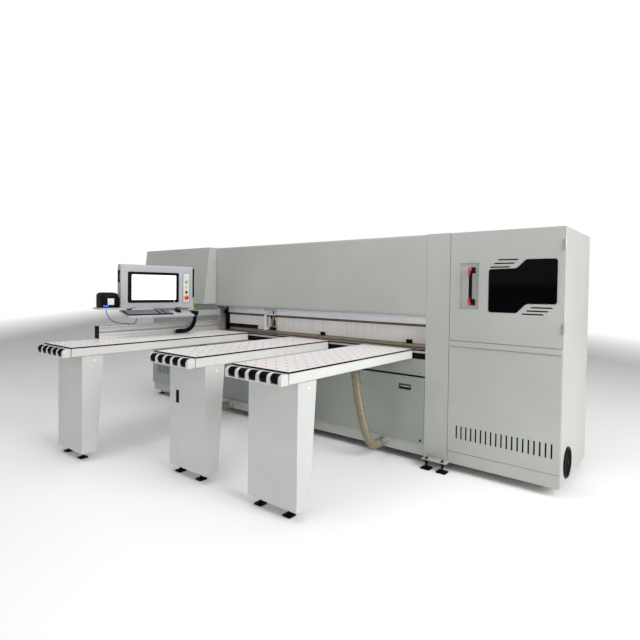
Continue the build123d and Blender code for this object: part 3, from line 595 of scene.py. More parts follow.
# ---------------------------------------------------------------- mesh work
class Shape:
    """A mesh in the making, in metres, in the machine's own frame."""

    def __init__(self) -> None:
        """Start an empty mesh."""
        self.mesh = bmesh.new()

    def merge(self, part: bmesh.types.BMesh, turn: Matrix | None) -> "Shape":
        """Add a finished part to this shape.

        Args:
            part: the part, freed here.
            turn: an optional transform.

        Returns:
            This shape.
        """
        if turn is not None:
            bmesh.ops.transform(part, matrix=turn, verts=part.verts)
        bmesh.ops.recalc_face_normals(part, faces=part.faces)
        holder = bpy.data.meshes.new("part")
        part.to_mesh(holder)
        part.free()
        self.mesh.from_mesh(holder)
        bpy.data.meshes.remove(holder)
        return self

    @staticmethod
    def _round(part: bmesh.types.BMesh, edges: Iterable, radius: float, steps: int) -> None:
        """Bevel edges of a part.

        Args:
            part: the part.
            edges: the edges to round.
            radius: the bevel's width.
            steps: its segments.
        """
        bmesh.ops.bevel(part, geom=list(edges), offset=radius, offset_type="OFFSET", segments=steps,
                        profile=0.5, affect="EDGES", clamp_overlap=True, material=-1)

    def block(self, low: Point, high: Point, radius: float = 0.0, steps: int = 2,
              turn: Matrix | None = None) -> "Shape":
        """Add a box with rounded edges.

        Args:
            low: lowest corner.
            high: highest corner.
            radius: edge radius, or nought.
            steps: bevel segments.
            turn: an optional transform.

        Returns:
            This shape.
        """
        part = bmesh.new()
        size = Vector(high) - Vector(low)
        place = Matrix.Translation((Vector(low) + Vector(high)) / 2) @ Matrix.Diagonal((*size, 1.0))
        bmesh.ops.create_cube(part, size=1.0, matrix=place)
        if radius:
            self._round(part, part.edges, radius, steps)
        return self.merge(part, turn)

    @staticmethod
    def _plate(corners: Iterable[Sequence[float]], corner: float) -> bmesh.types.BMesh:
        """A flat face.

        Args:
            corners: its corners.
            corner: their rounding, or nought.

        Returns:
            The new part.
        """
        part = bmesh.new()
        for place in corners:
            part.verts.new(place)
        bmesh.ops.contextual_create(part, geom=part.verts[:])
        if corner:
            bmesh.ops.bevel(part, geom=part.verts[:], offset=corner, offset_type="OFFSET", segments=5,
                            profile=0.5, affect="VERTICES", clamp_overlap=True, material=-1)
        return part

    @staticmethod
    def _pull(part: bmesh.types.BMesh, shift: Sequence[float]) -> None:
        """Give a flat part its thickness."""
        pulled = bmesh.ops.extrude_face_region(part, geom=part.faces[:])["geom"]
        bmesh.ops.translate(part, vec=shift, verts=[v for v in pulled if isinstance(v, bmesh.types.BMVert)])

    @staticmethod
    def _stretch(verts: Sequence[bmesh.types.BMVert], low: Point, high: Point) -> None:
        """Stretch points to fill a box."""
        for axis in range(3):
            start = min(vert.co[axis] for vert in verts)
            span = max(vert.co[axis] for vert in verts) - start
            for vert in verts if span else ():
                vert.co[axis] = low[axis] + (vert.co[axis] - start) / span * (high[axis] - low[axis])

    def rim(self, corners: Iterable[Point], corner: float, width: float, shift: Point,
            hole: tuple[Point, Point] | None = None, turn: Matrix | None = None) -> "Shape":
        """Add a flat rim round an opening.

        Args:
            corners: its outer corners, in one plane.
            corner: their rounding.
            width: how wide it is.
            shift: its thickness, as a move.
            hole: the opening's lowest and highest point, if the width varies.
            turn: an optional transform.

        Returns:
            This shape.
        """
        part = self._plate(corners, corner)
        pane = part.faces[:]
        bmesh.ops.inset_region(part, faces=pane, thickness=width, use_even_offset=True, use_boundary=True)
        if hole:
            self._stretch(pane[0].verts[:], *hole)
        bmesh.ops.delete(part, geom=pane, context="FACES_ONLY")
        self._pull(part, shift)
        return self.merge(part, turn)

    def slab(self, outline: Sequence[Pair], normal: Axis, low: float, high: float,
             radius: float = 0.0, corner: float = 0.0, turn: Matrix | None = None) -> "Shape":
        """Add an outline pulled along an axis.

        Args:
            outline: corners on the two other axes, in order X, Y, Z.
            normal: the axis that it is pulled along.
            low: where it starts.
            high: where it ends.
            radius: rounding of the edges, or nought.
            corner: rounding of the outline's own corners, or nought.
            turn: an optional transform.

        Returns:
            This shape.
        """
        others = [axis.value for axis in Axis if axis is not normal]
        corners = []
        for pair in outline:
            place = [low, low, low]
            place[others[0]], place[others[1]] = pair
            corners.append(place)
        part = self._plate(corners, corner)
        shift = Vector((0.0, 0.0, 0.0))
        shift[normal.value] = high - low
        self._pull(part, shift)
        bmesh.ops.recalc_face_normals(part, faces=part.faces)
        if radius:
            self._round(part, [e for e in part.edges if e.calc_face_angle(0.0) > 0.6], radius, 2)
        return self.merge(part, turn)

    def lathe(self, start: Point, along: Axis, profile: Sequence[Pair], sides: int = 24,
              turn: Matrix | None = None) -> "Shape":
        """Add a turned part.

        Args:
            start: a point on its axis.
            along: the axis's direction.
            profile: distance along the axis and radius, from end to end.
            sides: facets round the axis.
            turn: an optional transform.

        Returns:
            This shape.
        """
        part = bmesh.new()
        axis = Vector((0.0, 0.0, 0.0))
        axis[along.value] = 1.0
        side = Vector((0.0, 0.0, 0.0))
        side[(along.value + 1) % 3] = 1.0
        points = [part.verts.new(Vector(start) + axis * far + side * radius) for far, radius in profile]
        for first, second in zip(points, points[1:]):
            part.edges.new((first, second))
        bmesh.ops.spin(part, geom=part.verts[:] + part.edges[:], cent=start, axis=axis,
                       angle=math.tau, steps=sides, use_merge=True)
        bmesh.ops.remove_doubles(part, verts=part.verts, dist=0.00002)
        bmesh.ops.holes_fill(part, edges=[e for e in part.edges if e.is_boundary], sides=0)
        return self.merge(part, turn)

    def rod(self, start: Point, along: Axis, length: float, radius: float, rim: float = 0.0,
            sides: int = 24, turn: Matrix | None = None) -> "Shape":
        """Add a round bar with a chamfered rim."""
        rim = rim or radius * 0.08
        profile = [(0.0, 0.0), (0.0, radius - rim), (rim, radius), (length - rim, radius),
                   (length, radius - rim), (length, 0.0)]
        return self.lathe(start, along, profile, sides, turn)

    def ring(self, start: Point, along: Axis, length: float, outer: float, inner: float,
             sides: int = 28, turn: Matrix | None = None) -> "Shape":
        """Add a ring with softened rims."""
        rim = min(length, outer - inner) * 0.2
        profile = [(0.0, inner), (0.0, outer - rim), (rim, outer), (length - rim, outer),
                   (length, outer - rim), (length, inner), (0.0, inner)]
        return self.lathe(start, along, profile, sides, turn)

    def screw(self, head: Point, along: Axis, radius: float, out: float = -1.0) -> "Shape":
        """Add a domed screw head with a socket.

        Args:
            head: centre of the seat.
            along: the screw's axis.
            radius: head radius.
            out: sign of the outward direction.

        Returns:
            This shape.
        """
        tall = radius * 0.55 * out
        profile = [(-tall * 0.05, radius * 0.98), (tall * 0.4, radius), (tall * 0.85, radius * 0.75),
                   (tall, radius * 0.45), (tall * 0.5, radius * 0.4), (tall * 0.5, 0.0)]
        return self.lathe(head, along, profile, 12)

    def piece(self, name: str, finish: Finish, body: Body | str, slot: str,
              replaces: Sequence[str] = (), sharp: float = 35.0) -> bpy.types.Object:
        """Finish the mesh as a named piece of the machine.

        Args:
            name: the piece's name.
            finish: its finish.
            body: the body that it rides on.
            slot: the record's material slot; not used.
            replaces: CAD nodes that it stands for.
            sharp: angle above which an edge stays sharp, in degrees.

        Returns:
            The new object.
        """
        mesh = bpy.data.meshes.new(name)
        self.mesh.to_mesh(mesh)
        self.mesh.free()
        mesh.materials.append(finish.material())
        mesh.polygons.foreach_set("use_smooth", [True] * len(mesh.polygons))
        mesh.set_sharp_from_angle(angle=math.radians(sharp))
        made = bpy.data.objects.new(name, mesh)
        bpy.context.scene.collection.objects.link(made)
        return settle(made, body, replaces)


def oblong(across: Pair, upward: Pair, grow: float = 0.0) -> list[Pair]:
    """Corners of an oblong.

    Args:
        across: its span on the first axis.
        upward: its span on the second axis.
        grow: how far each side moves out.

    Returns:
        Its four corners.
    """
    x0, x1, y0, y1 = across[0] - grow, across[1] + grow, upward[0] - grow, upward[1] + grow
    return [(x0, y0), (x1, y0), (x1, y1), (x0, y1)]


def settle(made: bpy.types.Object, body: Body | str, replaces: Sequence[str] = ()) -> bpy.types.Object:
    """Put a piece on its body and hide the CAD nodes that it stands for.

    Args:
        made: the piece.
        body: the body that it rides on.
        replaces: CAD nodes that it stands for.

    Returns:
        The piece.
    """
    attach(made, body.value if isinstance(body, Body) else body)
    if replaces:
        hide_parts(*replaces)
    LOG.info("piece %s on %s", made.name, body)
    return made


# ---------------------------------------------------------------- camera
@dataclass
class Studio:
    """Camera, soft light and a plain pale floor."""

    eye: Point = (3.4346, -3.7688, 1.5143)
    turn: float = 0.67087
    tilt: float = -0.02258
    roll: float = 0.01334
    lens: float = 27.009
    shift: Pair = (-0.00918, -0.03293)
    floor_size: float = 60.0
    ambient: float = 0.36

    def camera(self) -> None:
        """Place the camera."""
        forward = Vector((-math.sin(self.turn) * math.cos(self.tilt),
                          math.cos(self.turn) * math.cos(self.tilt), math.sin(self.tilt)))
        level = forward.cross(Vector((0.0, 0.0, 1.0))).normalized()
        upright = level.cross(forward)
        right = math.cos(self.roll) * level + math.sin(self.roll) * upright
        up = math.cos(self.roll) * upright - math.sin(self.roll) * level
        data = bpy.data.cameras.new("camera")
        data.lens = self.lens
        data.sensor_width = 36.0
        data.shift_x, data.shift_y = self.shift
        data.clip_end = 200.0
        camera = bpy.data.objects.new("camera", data)
        camera.matrix_world = Matrix.Translation(self.eye) @ Matrix((right, up, -forward)).transposed().to_4x4()
        bpy.context.scene.collection.objects.link(camera)
        bpy.context.scene.camera = camera

    def lamp(self, name: str, place: Point, aim: Point, size: float, power: float) -> None:
        """Add one soft square light.

        Args:
            name: its name.
            place: where it hangs.
            aim: what it faces.
            size: its side.
            power: its watts.
        """
        data = bpy.data.lights.new(name, "AREA")
        data.size = size
        data.energy = power
        lamp = bpy.data.objects.new(name, data)
        lamp.location = place
        lamp.rotation_euler = (Vector(aim) - Vector(place)).to_track_quat("-Z", "Y").to_euler()
        bpy.context.scene.collection.objects.link(lamp)

    def light(self) -> None:
        """Add the lights, the sky and the floor."""
        self.lamp("key_right", (7.5, -1.5, 4.2), (0.8, -0.3, 0.9), 4.0, 400.0)
        self.lamp("ceiling", (0.0, -1.2, 6.5), (0.0, -0.3, 0.0), 7.0, 190.0)
        self.lamp("fill_front", (-1.5, -8.0, 4.0), (0.0, 0.0, 0.8), 5.0, 60.0)
        world = bpy.data.worlds.new("studio")
        world.use_nodes = True
        tree = world.node_tree
        sky = tree.nodes["Background"]
        sky.inputs["Color"].default_value = (1.0, 1.0, 1.0, 1.0)
        sky.inputs["Strength"].default_value = self.ambient
        backdrop = tree.nodes.new("ShaderNodeBackground")
        backdrop.inputs["Color"].default_value = (1.0, 1.0, 1.0, 1.0)
        seen = tree.nodes.new("ShaderNodeLightPath")
        blend = tree.nodes.new("ShaderNodeMixShader")
        tree.links.new(seen.outputs["Is Camera Ray"], blend.inputs[0])
        tree.links.new(sky.outputs[0], blend.inputs[1])
        tree.links.new(backdrop.outputs[0], blend.inputs[2])
        tree.links.new(blend.outputs[0], tree.nodes["World Output"].inputs["Surface"])
        bpy.context.scene.world = world
        bpy.context.scene.view_settings.view_transform = "Standard"
        part = bmesh.new()
        bmesh.ops.create_grid(part, x_segments=1, y_segments=1, size=self.floor_size / 2)
        mesh = bpy.data.meshes.new("studio_floor")
        part.to_mesh(mesh)
        part.free()
        mesh.materials.append(StudioFloor().build())
        floor = bpy.data.objects.new("studio_floor", mesh)
        bpy.context.scene.collection.objects.link(floor)


# ---------------------------------------------------------------- hoses
class Lay(Enum):
    """How a hose or cable lies."""

    HANGING = "hanging"
    LOOSE = "loose"


@dataclass
class Run:
    """A flexible run on one smooth line."""

    name: str
    points: list[Point]
    radius: float
    length: float
    stiffness: str
    far_end: str
    lay: Lay
    body: Body
    slot: str
    node: str
    finish: Finish

    def line(self, bevel: float) -> bpy.types.Object:
        """Make the run's curve.

        Args:
            bevel: its radius, or nought for the bare line.

        Returns:
            The curve object.
        """
        data = bpy.data.curves.new(self.name, "CURVE")
        data.dimensions = "3D"
        data.resolution_u = 16
        data.bevel_depth = bevel
        data.bevel_resolution = 4
        data.use_fill_caps = bool(bevel)
        spline = data.splines.new("NURBS")
        spline.points.add(len(self.points) - 1)
        for point, place in zip(spline.points, self.points):
            point.co = (*place, 1.0)
        spline.order_u = 3
        spline.use_endpoint_u = True
        made = bpy.data.objects.new(self.name, data)
        bpy.context.scene.collection.objects.link(made)
        return made

    def declare(self, made: bpy.types.Object) -> None:
        """Put the run on its body and hide the CAD node that it stands for."""
        settle(made, self.body, [self.node])
        2 * self.radius

    def plain(self) -> bpy.types.Object:
        """Make a smooth round cable."""
        made = self.line(self.radius)
        made.data.materials.append(self.finish.material())
        self.declare(made)
        return made

    def ribbed(self, pitch: float, depth: float, sides: int) -> bpy.types.Object:
        """Make a ribbed hose along the line.

        Args:
            pitch: distance from rib to rib.
            depth: how deep the grooves are.
            sides: facets round the hose.

        Returns:
            The hose.
        """
        guide = self.line(0.0)
        bpy.context.view_layer.update()
        traced = bpy.data.meshes.new_from_object(guide.evaluated_get(bpy.context.evaluated_depsgraph_get()))
        path = [vertex.co.copy() for vertex in traced.vertices]
        bpy.data.meshes.remove(traced)
        bpy.data.objects.remove(guide)
        part = bmesh.new()
        steps = self._even(path, pitch / 4)
        heading = (steps[1] - steps[0]).normalized()
        place = Matrix.Translation(steps[0]) @ heading.to_track_quat("Z", "Y").to_matrix().to_4x4()
        bmesh.ops.create_circle(part, cap_ends=True, segments=sides, radius=self.radius, matrix=place)
        ring = part.edges[:]
        wave = (1.0, 0.7, 0.0, 0.7)
        now = 1.0
        for index in range(1, len(steps)):
            nearby = steps[min(index + 1, len(steps) - 1)] - steps[index - 1]
            want = self.radius - depth * (1 - wave[index % 4])
            pulled = bmesh.ops.extrude_edge_only(part, edges=ring)["geom"]
            verts = [item for item in pulled if isinstance(item, bmesh.types.BMVert)]
            ring = [item for item in pulled if isinstance(item, bmesh.types.BMEdge)
                    and item.verts[0] in verts and item.verts[1] in verts]
            centre = steps[index - 1]
            swing = heading.rotation_difference(nearby.normalized()).to_matrix().to_4x4()
            scale = want / (self.radius * now)
            move = (Matrix.Translation(steps[index]) @ swing @ Matrix.Scale(scale, 4)
                    @ Matrix.Translation(-centre))
            bmesh.ops.transform(part, matrix=move, verts=verts)
            heading = nearby.normalized()
            now = want / self.radius
        bmesh.ops.holes_fill(part, edges=ring, sides=0)
        bmesh.ops.recalc_face_normals(part, faces=part.faces)
        mesh = bpy.data.meshes.new(self.name)
        part.to_mesh(mesh)
        part.free()
        mesh.materials.append(self.finish.material())
        mesh.polygons.foreach_set("use_smooth", [True] * len(mesh.polygons))
        hose = bpy.data.objects.new(self.name, mesh)
        bpy.context.scene.collection.objects.link(hose)
        self.declare(hose)
        return hose

    @staticmethod
    def _even(path: Sequence[Vector], step: float) -> list[Vector]:
        """Points at an even step along a line.

        Args:
            path: the line's points.
            step: distance between the results.

        Returns:
            The even points, ends included.
        """
        found = [path[0].copy()]
        left = step
        for first, second in zip(path, path[1:]):
            run = (second - first).length
            done = 0.0
            while run - done > left:
                done += left
                found.append(first.lerp(second, done / run))
                left = step
            left -= run - done
        found.append(path[-1].copy())
        return found


@dataclass
class Flexibles:
    """Dust hoses under the tables, the conduit on the arm and the printer's lead."""

    hose_line: tuple[Point, ...] = ((0.0, 0.0, 0.899), (0.025, 0.0, 0.668), (0.066, 0.028, 0.410),
                                    (0.084, 0.062, 0.270), (0.090, 0.128, 0.162), (0.090, 0.198, 0.119),
                                    (0.089, 0.274, 0.117))
    conduit_line: tuple[Point, ...] = ((-1.168, -0.386, 1.1876), (-1.167, -0.3865, 1.131),
                                       (-1.165, -0.4085, 1.078), (-1.162, -0.449, 1.037),
                                       (-1.158, -0.502, 1.0153), (-1.153, -0.558, 1.015))
    lead_line: tuple[Point, ...] = ((0.0, -0.541, 1.2838), (0.0, -0.540, 1.262), (0.001, -0.538, 1.232),
                                    (0.002, -0.520, 1.193), (0.004, -0.488, 1.155), (0.006, -0.440, 1.130),
                                    (0.008, -0.385, 1.124), (0.009, -0.330, 1.117), (0.010, -0.285, 1.110),
                                    (0.008, -0.252, 1.120), (0.006, -0.237, 1.150), (0.005, -0.234, 1.190),
                                    (0.005, -0.231, 1.217), (0.004, -0.233, 1.243))

    def build(self, console: "Console") -> None:
        """Make every flexible run.

        Args:
            console: gives the place of the printer's lead.
        """
        for index, (left, _) in enumerate(TABLES):
            start = Vector((left + HOSE_TOP[0], HOSE_TOP[1], 0.0))
            points = [tuple(start + Vector(step)) for step in self.hose_line]
            Run(f"dust_hose_skin_{index + 1}", points, 0.040, 0.920, "medium", "object", Lay.HANGING,
                Body.FRAME, "hose_plastic", f"dust_hose_{index + 1}", Finish.HOSE).ribbed(0.0105, 0.0034, 28)
        plug = (Shape().rod((-1.153, -0.636, 1.0155), Axis.Y, 0.058, 0.0225, 0.003, 28)
                .ring((-1.153, -0.600, 1.0155), Axis.Y, 0.020, 0.0250, 0.018)
                .ring((-1.153, -0.578, 1.0155), Axis.Y, 0.0155, 0.0248, 0.018, 6)
                .ring((-1.153, -0.629, 1.0155), Axis.Y, 0.006, 0.0240, 0.018)
                .piece("conduit_plug", Finish.BLACK_PLASTIC, Body.FRAME, "black_plastic"))
        Run("arm_conduit_skin", list(self.conduit_line), 0.022, 0.282, "limp", "connector", Lay.LOOSE,
            Body.FRAME, "black_rubber", "arm_conduit", Finish.BLACK_RUBBER).ribbed(0.006, 0.0022, 24)
        points = [tuple(console.place @ Vector(point)) for point in self.lead_line]
        Run("printer_lead", points, 0.0035, 0.511, "limp", "object", Lay.HANGING,
            Body.CONSOLE, "black_rubber", "printer_cable", Finish.BLACK_RUBBER).plain()


# ---------------------------------------------------------------- cabinet
@dataclass
class Cabinet:
    """Electrical cabinet: window seal, door handle, port, filter mat and the inner plate."""

    window: tuple[Pair, ...] = (
        (2.082, 1.341), (2.082, 1.680), (2.294, 1.684), (2.364, 1.752), (2.584, 1.752),
        (2.584, 1.417), (2.368, 1.415), (2.298, 1.342))
    grip_x: float = 1.945
    grip_y: float = -0.026
    grip_low: float = 1.394
    grip_high: float = 1.695
    back_plate: tuple[Point, Point] = ((1.820, 0.890, 0.700), (2.568, 0.896, 1.850))

    def seal(self) -> None:
        """Black rubber seal round the window."""
        outline = [(x, -0.0022, z) for x, z in self.window]
        Shape().rim(outline, 0.021, 0.005, (0.0, 0.0050, 0.0)).piece(
            "window_seal", Finish.BLACK_RUBBER, Body.CABINET_DOOR, "smoked_window")

    def handle(self) -> None:
        """Black bow grip with red end caps."""
        x, y, low, high = self.grip_x, self.grip_y, self.grip_low, self.grip_high
        grip = Shape()
        grip.block((x - 0.013, y - 0.012, low + 0.020), (x + 0.013, y + 0.010, high - 0.020), 0.009, 4)
        for z in (low + 0.001, high - 0.043):
            grip.block((x - 0.004, y - 0.004, z), (x + 0.021, 0.0126, z + 0.042), 0.008, 3)
            grip.block((x - 0.010, 0.0062, z - 0.004), (x + 0.026, 0.0124, z + 0.046), 0.003, 2)
        for step in range(9):
            z = low + 0.075 + step * 0.0185
            grip.block((x - 0.0138, y - 0.0128, z), (x + 0.0138, y + 0.004, z + 0.004), 0.0015, 1)
        grip.piece("door_grip", Finish.BLACK_PLASTIC, Body.CABINET_DOOR, "black_plastic", ["door_handle"])
        caps = Shape()
        for z in (low, high - 0.062):
            caps.block((x - 0.020, y - 0.014, z), (x + 0.006, y + 0.012, z + 0.062), 0.0115, 4)
        caps.piece("grip_caps", Finish.RED_CAP, Body.CABINET_DOOR, "red_button")

    def plate_gear(self) -> None:
        """Wiring ducts, drives and breakers on the plate inside the cabinet."""
        (x0, y, _), (x1, _, _) = self.back_plate
        ducts, drives, breakers = Shape(), Shape(), Shape()
        for z in (1.02, 1.30, 1.56, 1.80):
            ducts.block((x0 + 0.02, y - 0.062, z), (x1 - 0.02, y - 0.001, z + 0.042), 0.003, 1)
            for step in range(34):
                x = x0 + 0.030 + step * 0.0205
                ducts.block((x, y - 0.0635, z + 0.046), (x + 0.009, y - 0.004, z + 0.058), 0.0, 1)
        for index in range(3):
            x = x0 + 0.05 + index * 0.17
            drives.block((x, y - 0.155, 1.095), (x + 0.125, y - 0.001, 1.285), 0.006, 2)
            drives.block((x + 0.030, y - 0.160, 1.215), (x + 0.095, y - 0.154, 1.262), 0.003, 1)
            for rib in range(7):
                z = 1.115 + rib * 0.012
                drives.block((x + 0.015, y - 0.158, z), (x + 0.110, y - 0.154, z + 0.005), 0.001, 1)
        for row, z in enumerate((1.385, 1.640)):
            breakers.block((x0 + 0.03, y - 0.010, z + 0.030), (x1 - 0.03, y - 0.002, z + 0.065), 0.001, 1)
            for step in range(14 + 4 * row):
                x = x0 + 0.045 + step * 0.034
                breakers.block((x, y - 0.072, z), (x + 0.0335 - 0.0015, y - 0.011, z + 0.090), 0.002, 1)
                breakers.block((x + 0.010, y - 0.084, z + 0.038), (x + 0.022, y - 0.070, z + 0.056), 0.002, 1)
        ducts.piece("wiring_ducts", Finish.GREY_DUCT, Body.FRAME, "grey_paint")
        drives.piece("motor_drives", Finish.DARK_METAL, Body.FRAME, "black_plastic")
        breakers.piece("circuit_breakers", Finish.WHITE_PLASTIC, Body.FRAME, "black_plastic")

    def port(self) -> None:
        """Round air port with a grille on the cabinet's right side."""
        low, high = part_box("fan_ring")
        middle = ((low[1] + high[1]) / 2, (low[2] + high[2]) / 2)
        face = high[0]
        guard = Shape()
        guard.lathe((face - 0.0120, *middle), Axis.X, [(0.0, 0.1000), (0.0, 0.1180), (0.007, 0.1180),
                    (0.0118, 0.1120), (0.0118, 0.1050), (0.0060, 0.1000), (0.0, 0.1000)], 48)
        for radius in (0.020, 0.036, 0.052, 0.068, 0.084):
            guard.ring((face - 0.0050, *middle), Axis.X, 0.0034, radius + 0.0016, radius - 0.0016, 36)
        for spoke in range(4):
            turn = (Matrix.Translation((0.0, *middle)) @ Matrix.Rotation(spoke * math.pi / 4, 4, "X")
                    @ Matrix.Translation((0.0, -middle[0], -middle[1])))
            guard.block((face - 0.0080, middle[0] - 0.101, middle[1] - 0.0022),
                        (face - 0.0040, middle[0] + 0.101, middle[1] + 0.0022), 0.001, 1, turn)
        guard.rod((face - 0.0085, *middle), Axis.X, 0.0080, 0.013, 0.002)
        guard.rod((low[0] + 0.001, *middle), Axis.X, 0.026, 0.030, 0.003, 28)
        guard.block((low[0], middle[0] - 0.103, middle[1] - 0.014),
                    (low[0] + 0.006, middle[0] + 0.103, middle[1] + 0.014), 0.002, 1)
        guard.ring((low[0], *middle), Axis.X, face - low[0] - 0.012, 0.1045, 0.1010, 48)
        guard.piece("air_port_guard", Finish.BLACK_PLASTIC, Body.FRAME, "black_plastic", ["fan_ring"])

    def filters(self) -> None:
        """Dark ribbed filter mat behind the louvres of the cabinet's lower panel."""
        low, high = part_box("cabinet_lower_panel")
        mat = Shape().block((low.x + 0.030, 0.0045, low.z + 0.020), (high.x - 0.030, 0.0085, 0.420), 0.0015, 1)
        for step in range(24):
            x = low.x + 0.045 + step * 0.0325
            mat.block((x, 0.0040, low.z + 0.024), (x + 0.004, 0.0050, 0.416))
        mat.piece("louvre_filter", Finish.BLACK_RUBBER, Body.FRAME, "black_rubber")

    def build(self) -> None:
        """Make the cabinet's pieces."""
        self.seal()
        self.handle()
        self.plate_gear()
        self.port()
        self.filters()


# ---------------------------------------------------------------- beam
@dataclass
class BeamFront:
    """What hangs below the beam cover: rail, rod, strips, bottom bar and aligner."""

    plane: float = 0.110
    left: float = -1.150
    right: float = 1.543
    strip_low: float = 1.030
    strip_high: float = 1.180
    strip_pitch: float = 0.0225
    stops: Pair = (0.294, 1.300)

    def rail(self) -> None:
        """Pale grooved rail, its brackets, and the black post at its end."""
        y = self.plane
        groove = 0.0022
        outline = [(y - 0.014, 1.205), (y + 0.008, 1.205), (y + 0.008, 1.300), (y - 0.014, 1.300)]
        for z in (1.286, 1.270, 1.254, 1.238, 1.222):
            outline += [(y - 0.014, z), (y - 0.014 + groove, z - 0.001), (y - 0.014 + groove, z - 0.004),
                        (y - 0.014, z - 0.005)]
        rail = Shape().slab(outline, Axis.X, self.left, self.right)
        for x in (-1.000, 0.134, 1.300):
            rail.block((x, y + 0.002, 1.300), (x + 0.060, y + 0.008, 1.446), 0.001, 1)
            rail.block((x, y + 0.008, 1.440), (x + 0.060, 0.1795, 1.446), 0.001, 1)
        rail.piece("beam_rail", Finish.RAIL_ALUMINIUM, Body.FRAME, "aluminium", ["valance"])
        post = Shape()
        post.block((self.left - 0.060, y + 0.010, 1.082), (self.left - 0.001, y + 0.040, 1.300), 0.003, 2)
        post.block((self.left - 0.052, y + 0.004, 1.150), (self.left - 0.010, y + 0.012, 1.180), 0.002, 2)
        post.ring((self.left - 0.060, y - 0.010, 1.208), Axis.Y, 0.020, 0.030, 0.014, 32)
        post.rod((self.left - 0.060, y - 0.007, 1.208), Axis.Y, 0.017, 0.0145, 0.002)
        post.piece("rail_end_post", Finish.BLACK_PLASTIC, Body.FRAME, "black_plastic")
        Shape().rod((self.left - 0.082, y - 0.012, 1.262), Axis.Y, 0.022, 0.011, 0.003).piece(
            "rail_end_stop", Finish.WHITE_PLASTIC, Body.FRAME, "aluminium")

    def curtain(self) -> None:
        """Narrow milky strips side by side."""
        strips = Shape()
        count = int((self.right - 0.012 - self.left) / self.strip_pitch)
        for index in range(count):
            x = self.left + 0.010 + index * self.strip_pitch
            out = 0.0007 * (index % 2)
            strips.block((x, self.plane + out, self.strip_low),
                         (x + 0.0212, self.plane + 0.0012 + out, self.strip_high))
        strips.piece("curtain_strips", Finish.CURTAIN, Body.FRAME, "curtain_plastic", ["strip_curtain"])

    def rod(self) -> None:
        """Bronze rod over the strips, black stops with brass catches."""
        y = self.plane
        profile = [(y - 0.003, 1.1803), (y + 0.0099, 1.1803), (y + 0.0099, 1.2045), (y - 0.003, 1.2045)]
        bar = Shape().slab(profile, Axis.X, self.left + 0.004, self.right - 0.006, 0.003)
        bar.block((self.left + 0.004, y - 0.0045, 1.187), (self.right - 0.006, y - 0.001, 1.192), 0.0010, 1)
        bar.piece("strip_rod", Finish.BRONZE, Body.FRAME, "bronze", ["curtain_rod"])
        clips, catches = Shape(), Shape()
        for x in self.stops:
            clips.block((x, y - 0.009, 1.031), (x + 0.062, y - 0.0005, 1.060), 0.003, 2)
            clips.block((x, y - 0.0065, 1.024), (x + 0.062, y + 0.0100, 1.0298), 0.0015, 1)
            clips.rod((x + 0.016, y - 0.012, 1.046), Axis.Y, 0.004, 0.008, 0.001, 16)
            catches.block((x - 0.046, y - 0.006, 0.9965), (x - 0.026, y + 0.0095, 1.026), 0.0025, 2)
            catches.rod((x - 0.036, y - 0.009, 1.012), Axis.Y, 0.004, 0.005, 0.001, 12)
        clips.piece("curtain_stops", Finish.BLACK_PLASTIC, Body.FRAME, "black_plastic")
        catches.piece("curtain_catches", Finish.BRASS, Body.FRAME, "bronze")

    def lower_edge(self) -> None:
        """Ribbed lip on the bottom bar and the dark comb at the left."""
        y = self.plane
        lip = Shape()
        outline = [(y + 0.0098, 0.9955), (y + 0.0098, 1.0275), (y + 0.0050, 1.0275), (y + 0.0030, 1.0200),
                   (y + 0.0050, 1.0180), (y + 0.0028, 1.0120), (y + 0.0050, 1.0060), (y + 0.0028, 0.9955)]
        lip.slab(outline, Axis.X, self.left + 0.006, self.right - 0.010)
        lip.piece("clamp_lip", Finish.CLAMP_ALUMINIUM, Body.CLAMP, "aluminium")
        comb = Shape()
        comb.block((self.left + 0.006, y - 0.0032, 1.058), (-0.640, y - 0.0008, 1.074), 0.0008, 1)
        for index in range(40):
            x = self.left + 0.010 + index * 0.0124
            comb.block((x, y - 0.0028, 1.030), (x + 0.0090, y - 0.0010, 1.062))
        comb.piece("side_comb", Finish.BLACK_RUBBER, Body.FRAME, "black_plastic")

    def aligner(self) -> None:
        """White aligning arm with its black and brass cylinders."""
        front = self.plane - 0.030
        back = self.plane - 0.0142
        arm = Shape()
        arm.block((-0.520, front, 1.200), (-0.340, back, 1.262), 0.003, 2)
        arm.block((-0.520, front, 1.025), (-0.484, back, 1.210), 0.003, 2)
        arm.block((-0.492, front + 0.004, 1.040), (-0.426, back, 1.062), 0.002, 1)
        arm.piece("aligner_arm", Finish.WHITE_PLASTIC, Body.ALIGNER, "black_plastic", ["side_aligner"])
        gear = Shape()
        gear.rod((-0.408, front + 0.013, 1.160), Axis.Z, 0.044, 0.0130, 0.002)
        gear.rod((-0.360, front + 0.011, 1.074), Axis.Z, 0.074, 0.0100, 0.002)
        gear.rod((-0.360, front + 0.011, 1.140), Axis.Z, 0.060, 0.0040, 0.001)
        gear.block((-0.432, front, 1.034), (-0.336, front + 0.018, 1.066), 0.004, 2)
        gear.screw((-0.410, front, 1.236), Axis.Y, 0.0080)
        gear.screw((-0.440, front, 1.222), Axis.Y, 0.0055)
        gear.block((-0.380, front - 0.0015, 1.214), (-0.358, front + 0.004, 1.250), 0.002, 1)
        gear.piece("aligner_cylinder_ends", Finish.BLACK_PLASTIC, Body.ALIGNER, "black_plastic")
        brass = Shape().rod((-0.408, front + 0.013, 1.066), Axis.Z, 0.094, 0.0112, 0.002)
        brass.rod((-0.386, front + 0.010, 1.066), Axis.Z, 0.134, 0.0030, 0.0008, 12)
        brass.piece("aligner_cylinder", Finish.BRASS, Body.ALIGNER, "bronze")

    def build(self) -> None:
        """Make the beam's front pieces."""
        self.rail()
        self.curtain()
        self.rod()
        self.lower_edge()
        self.aligner()


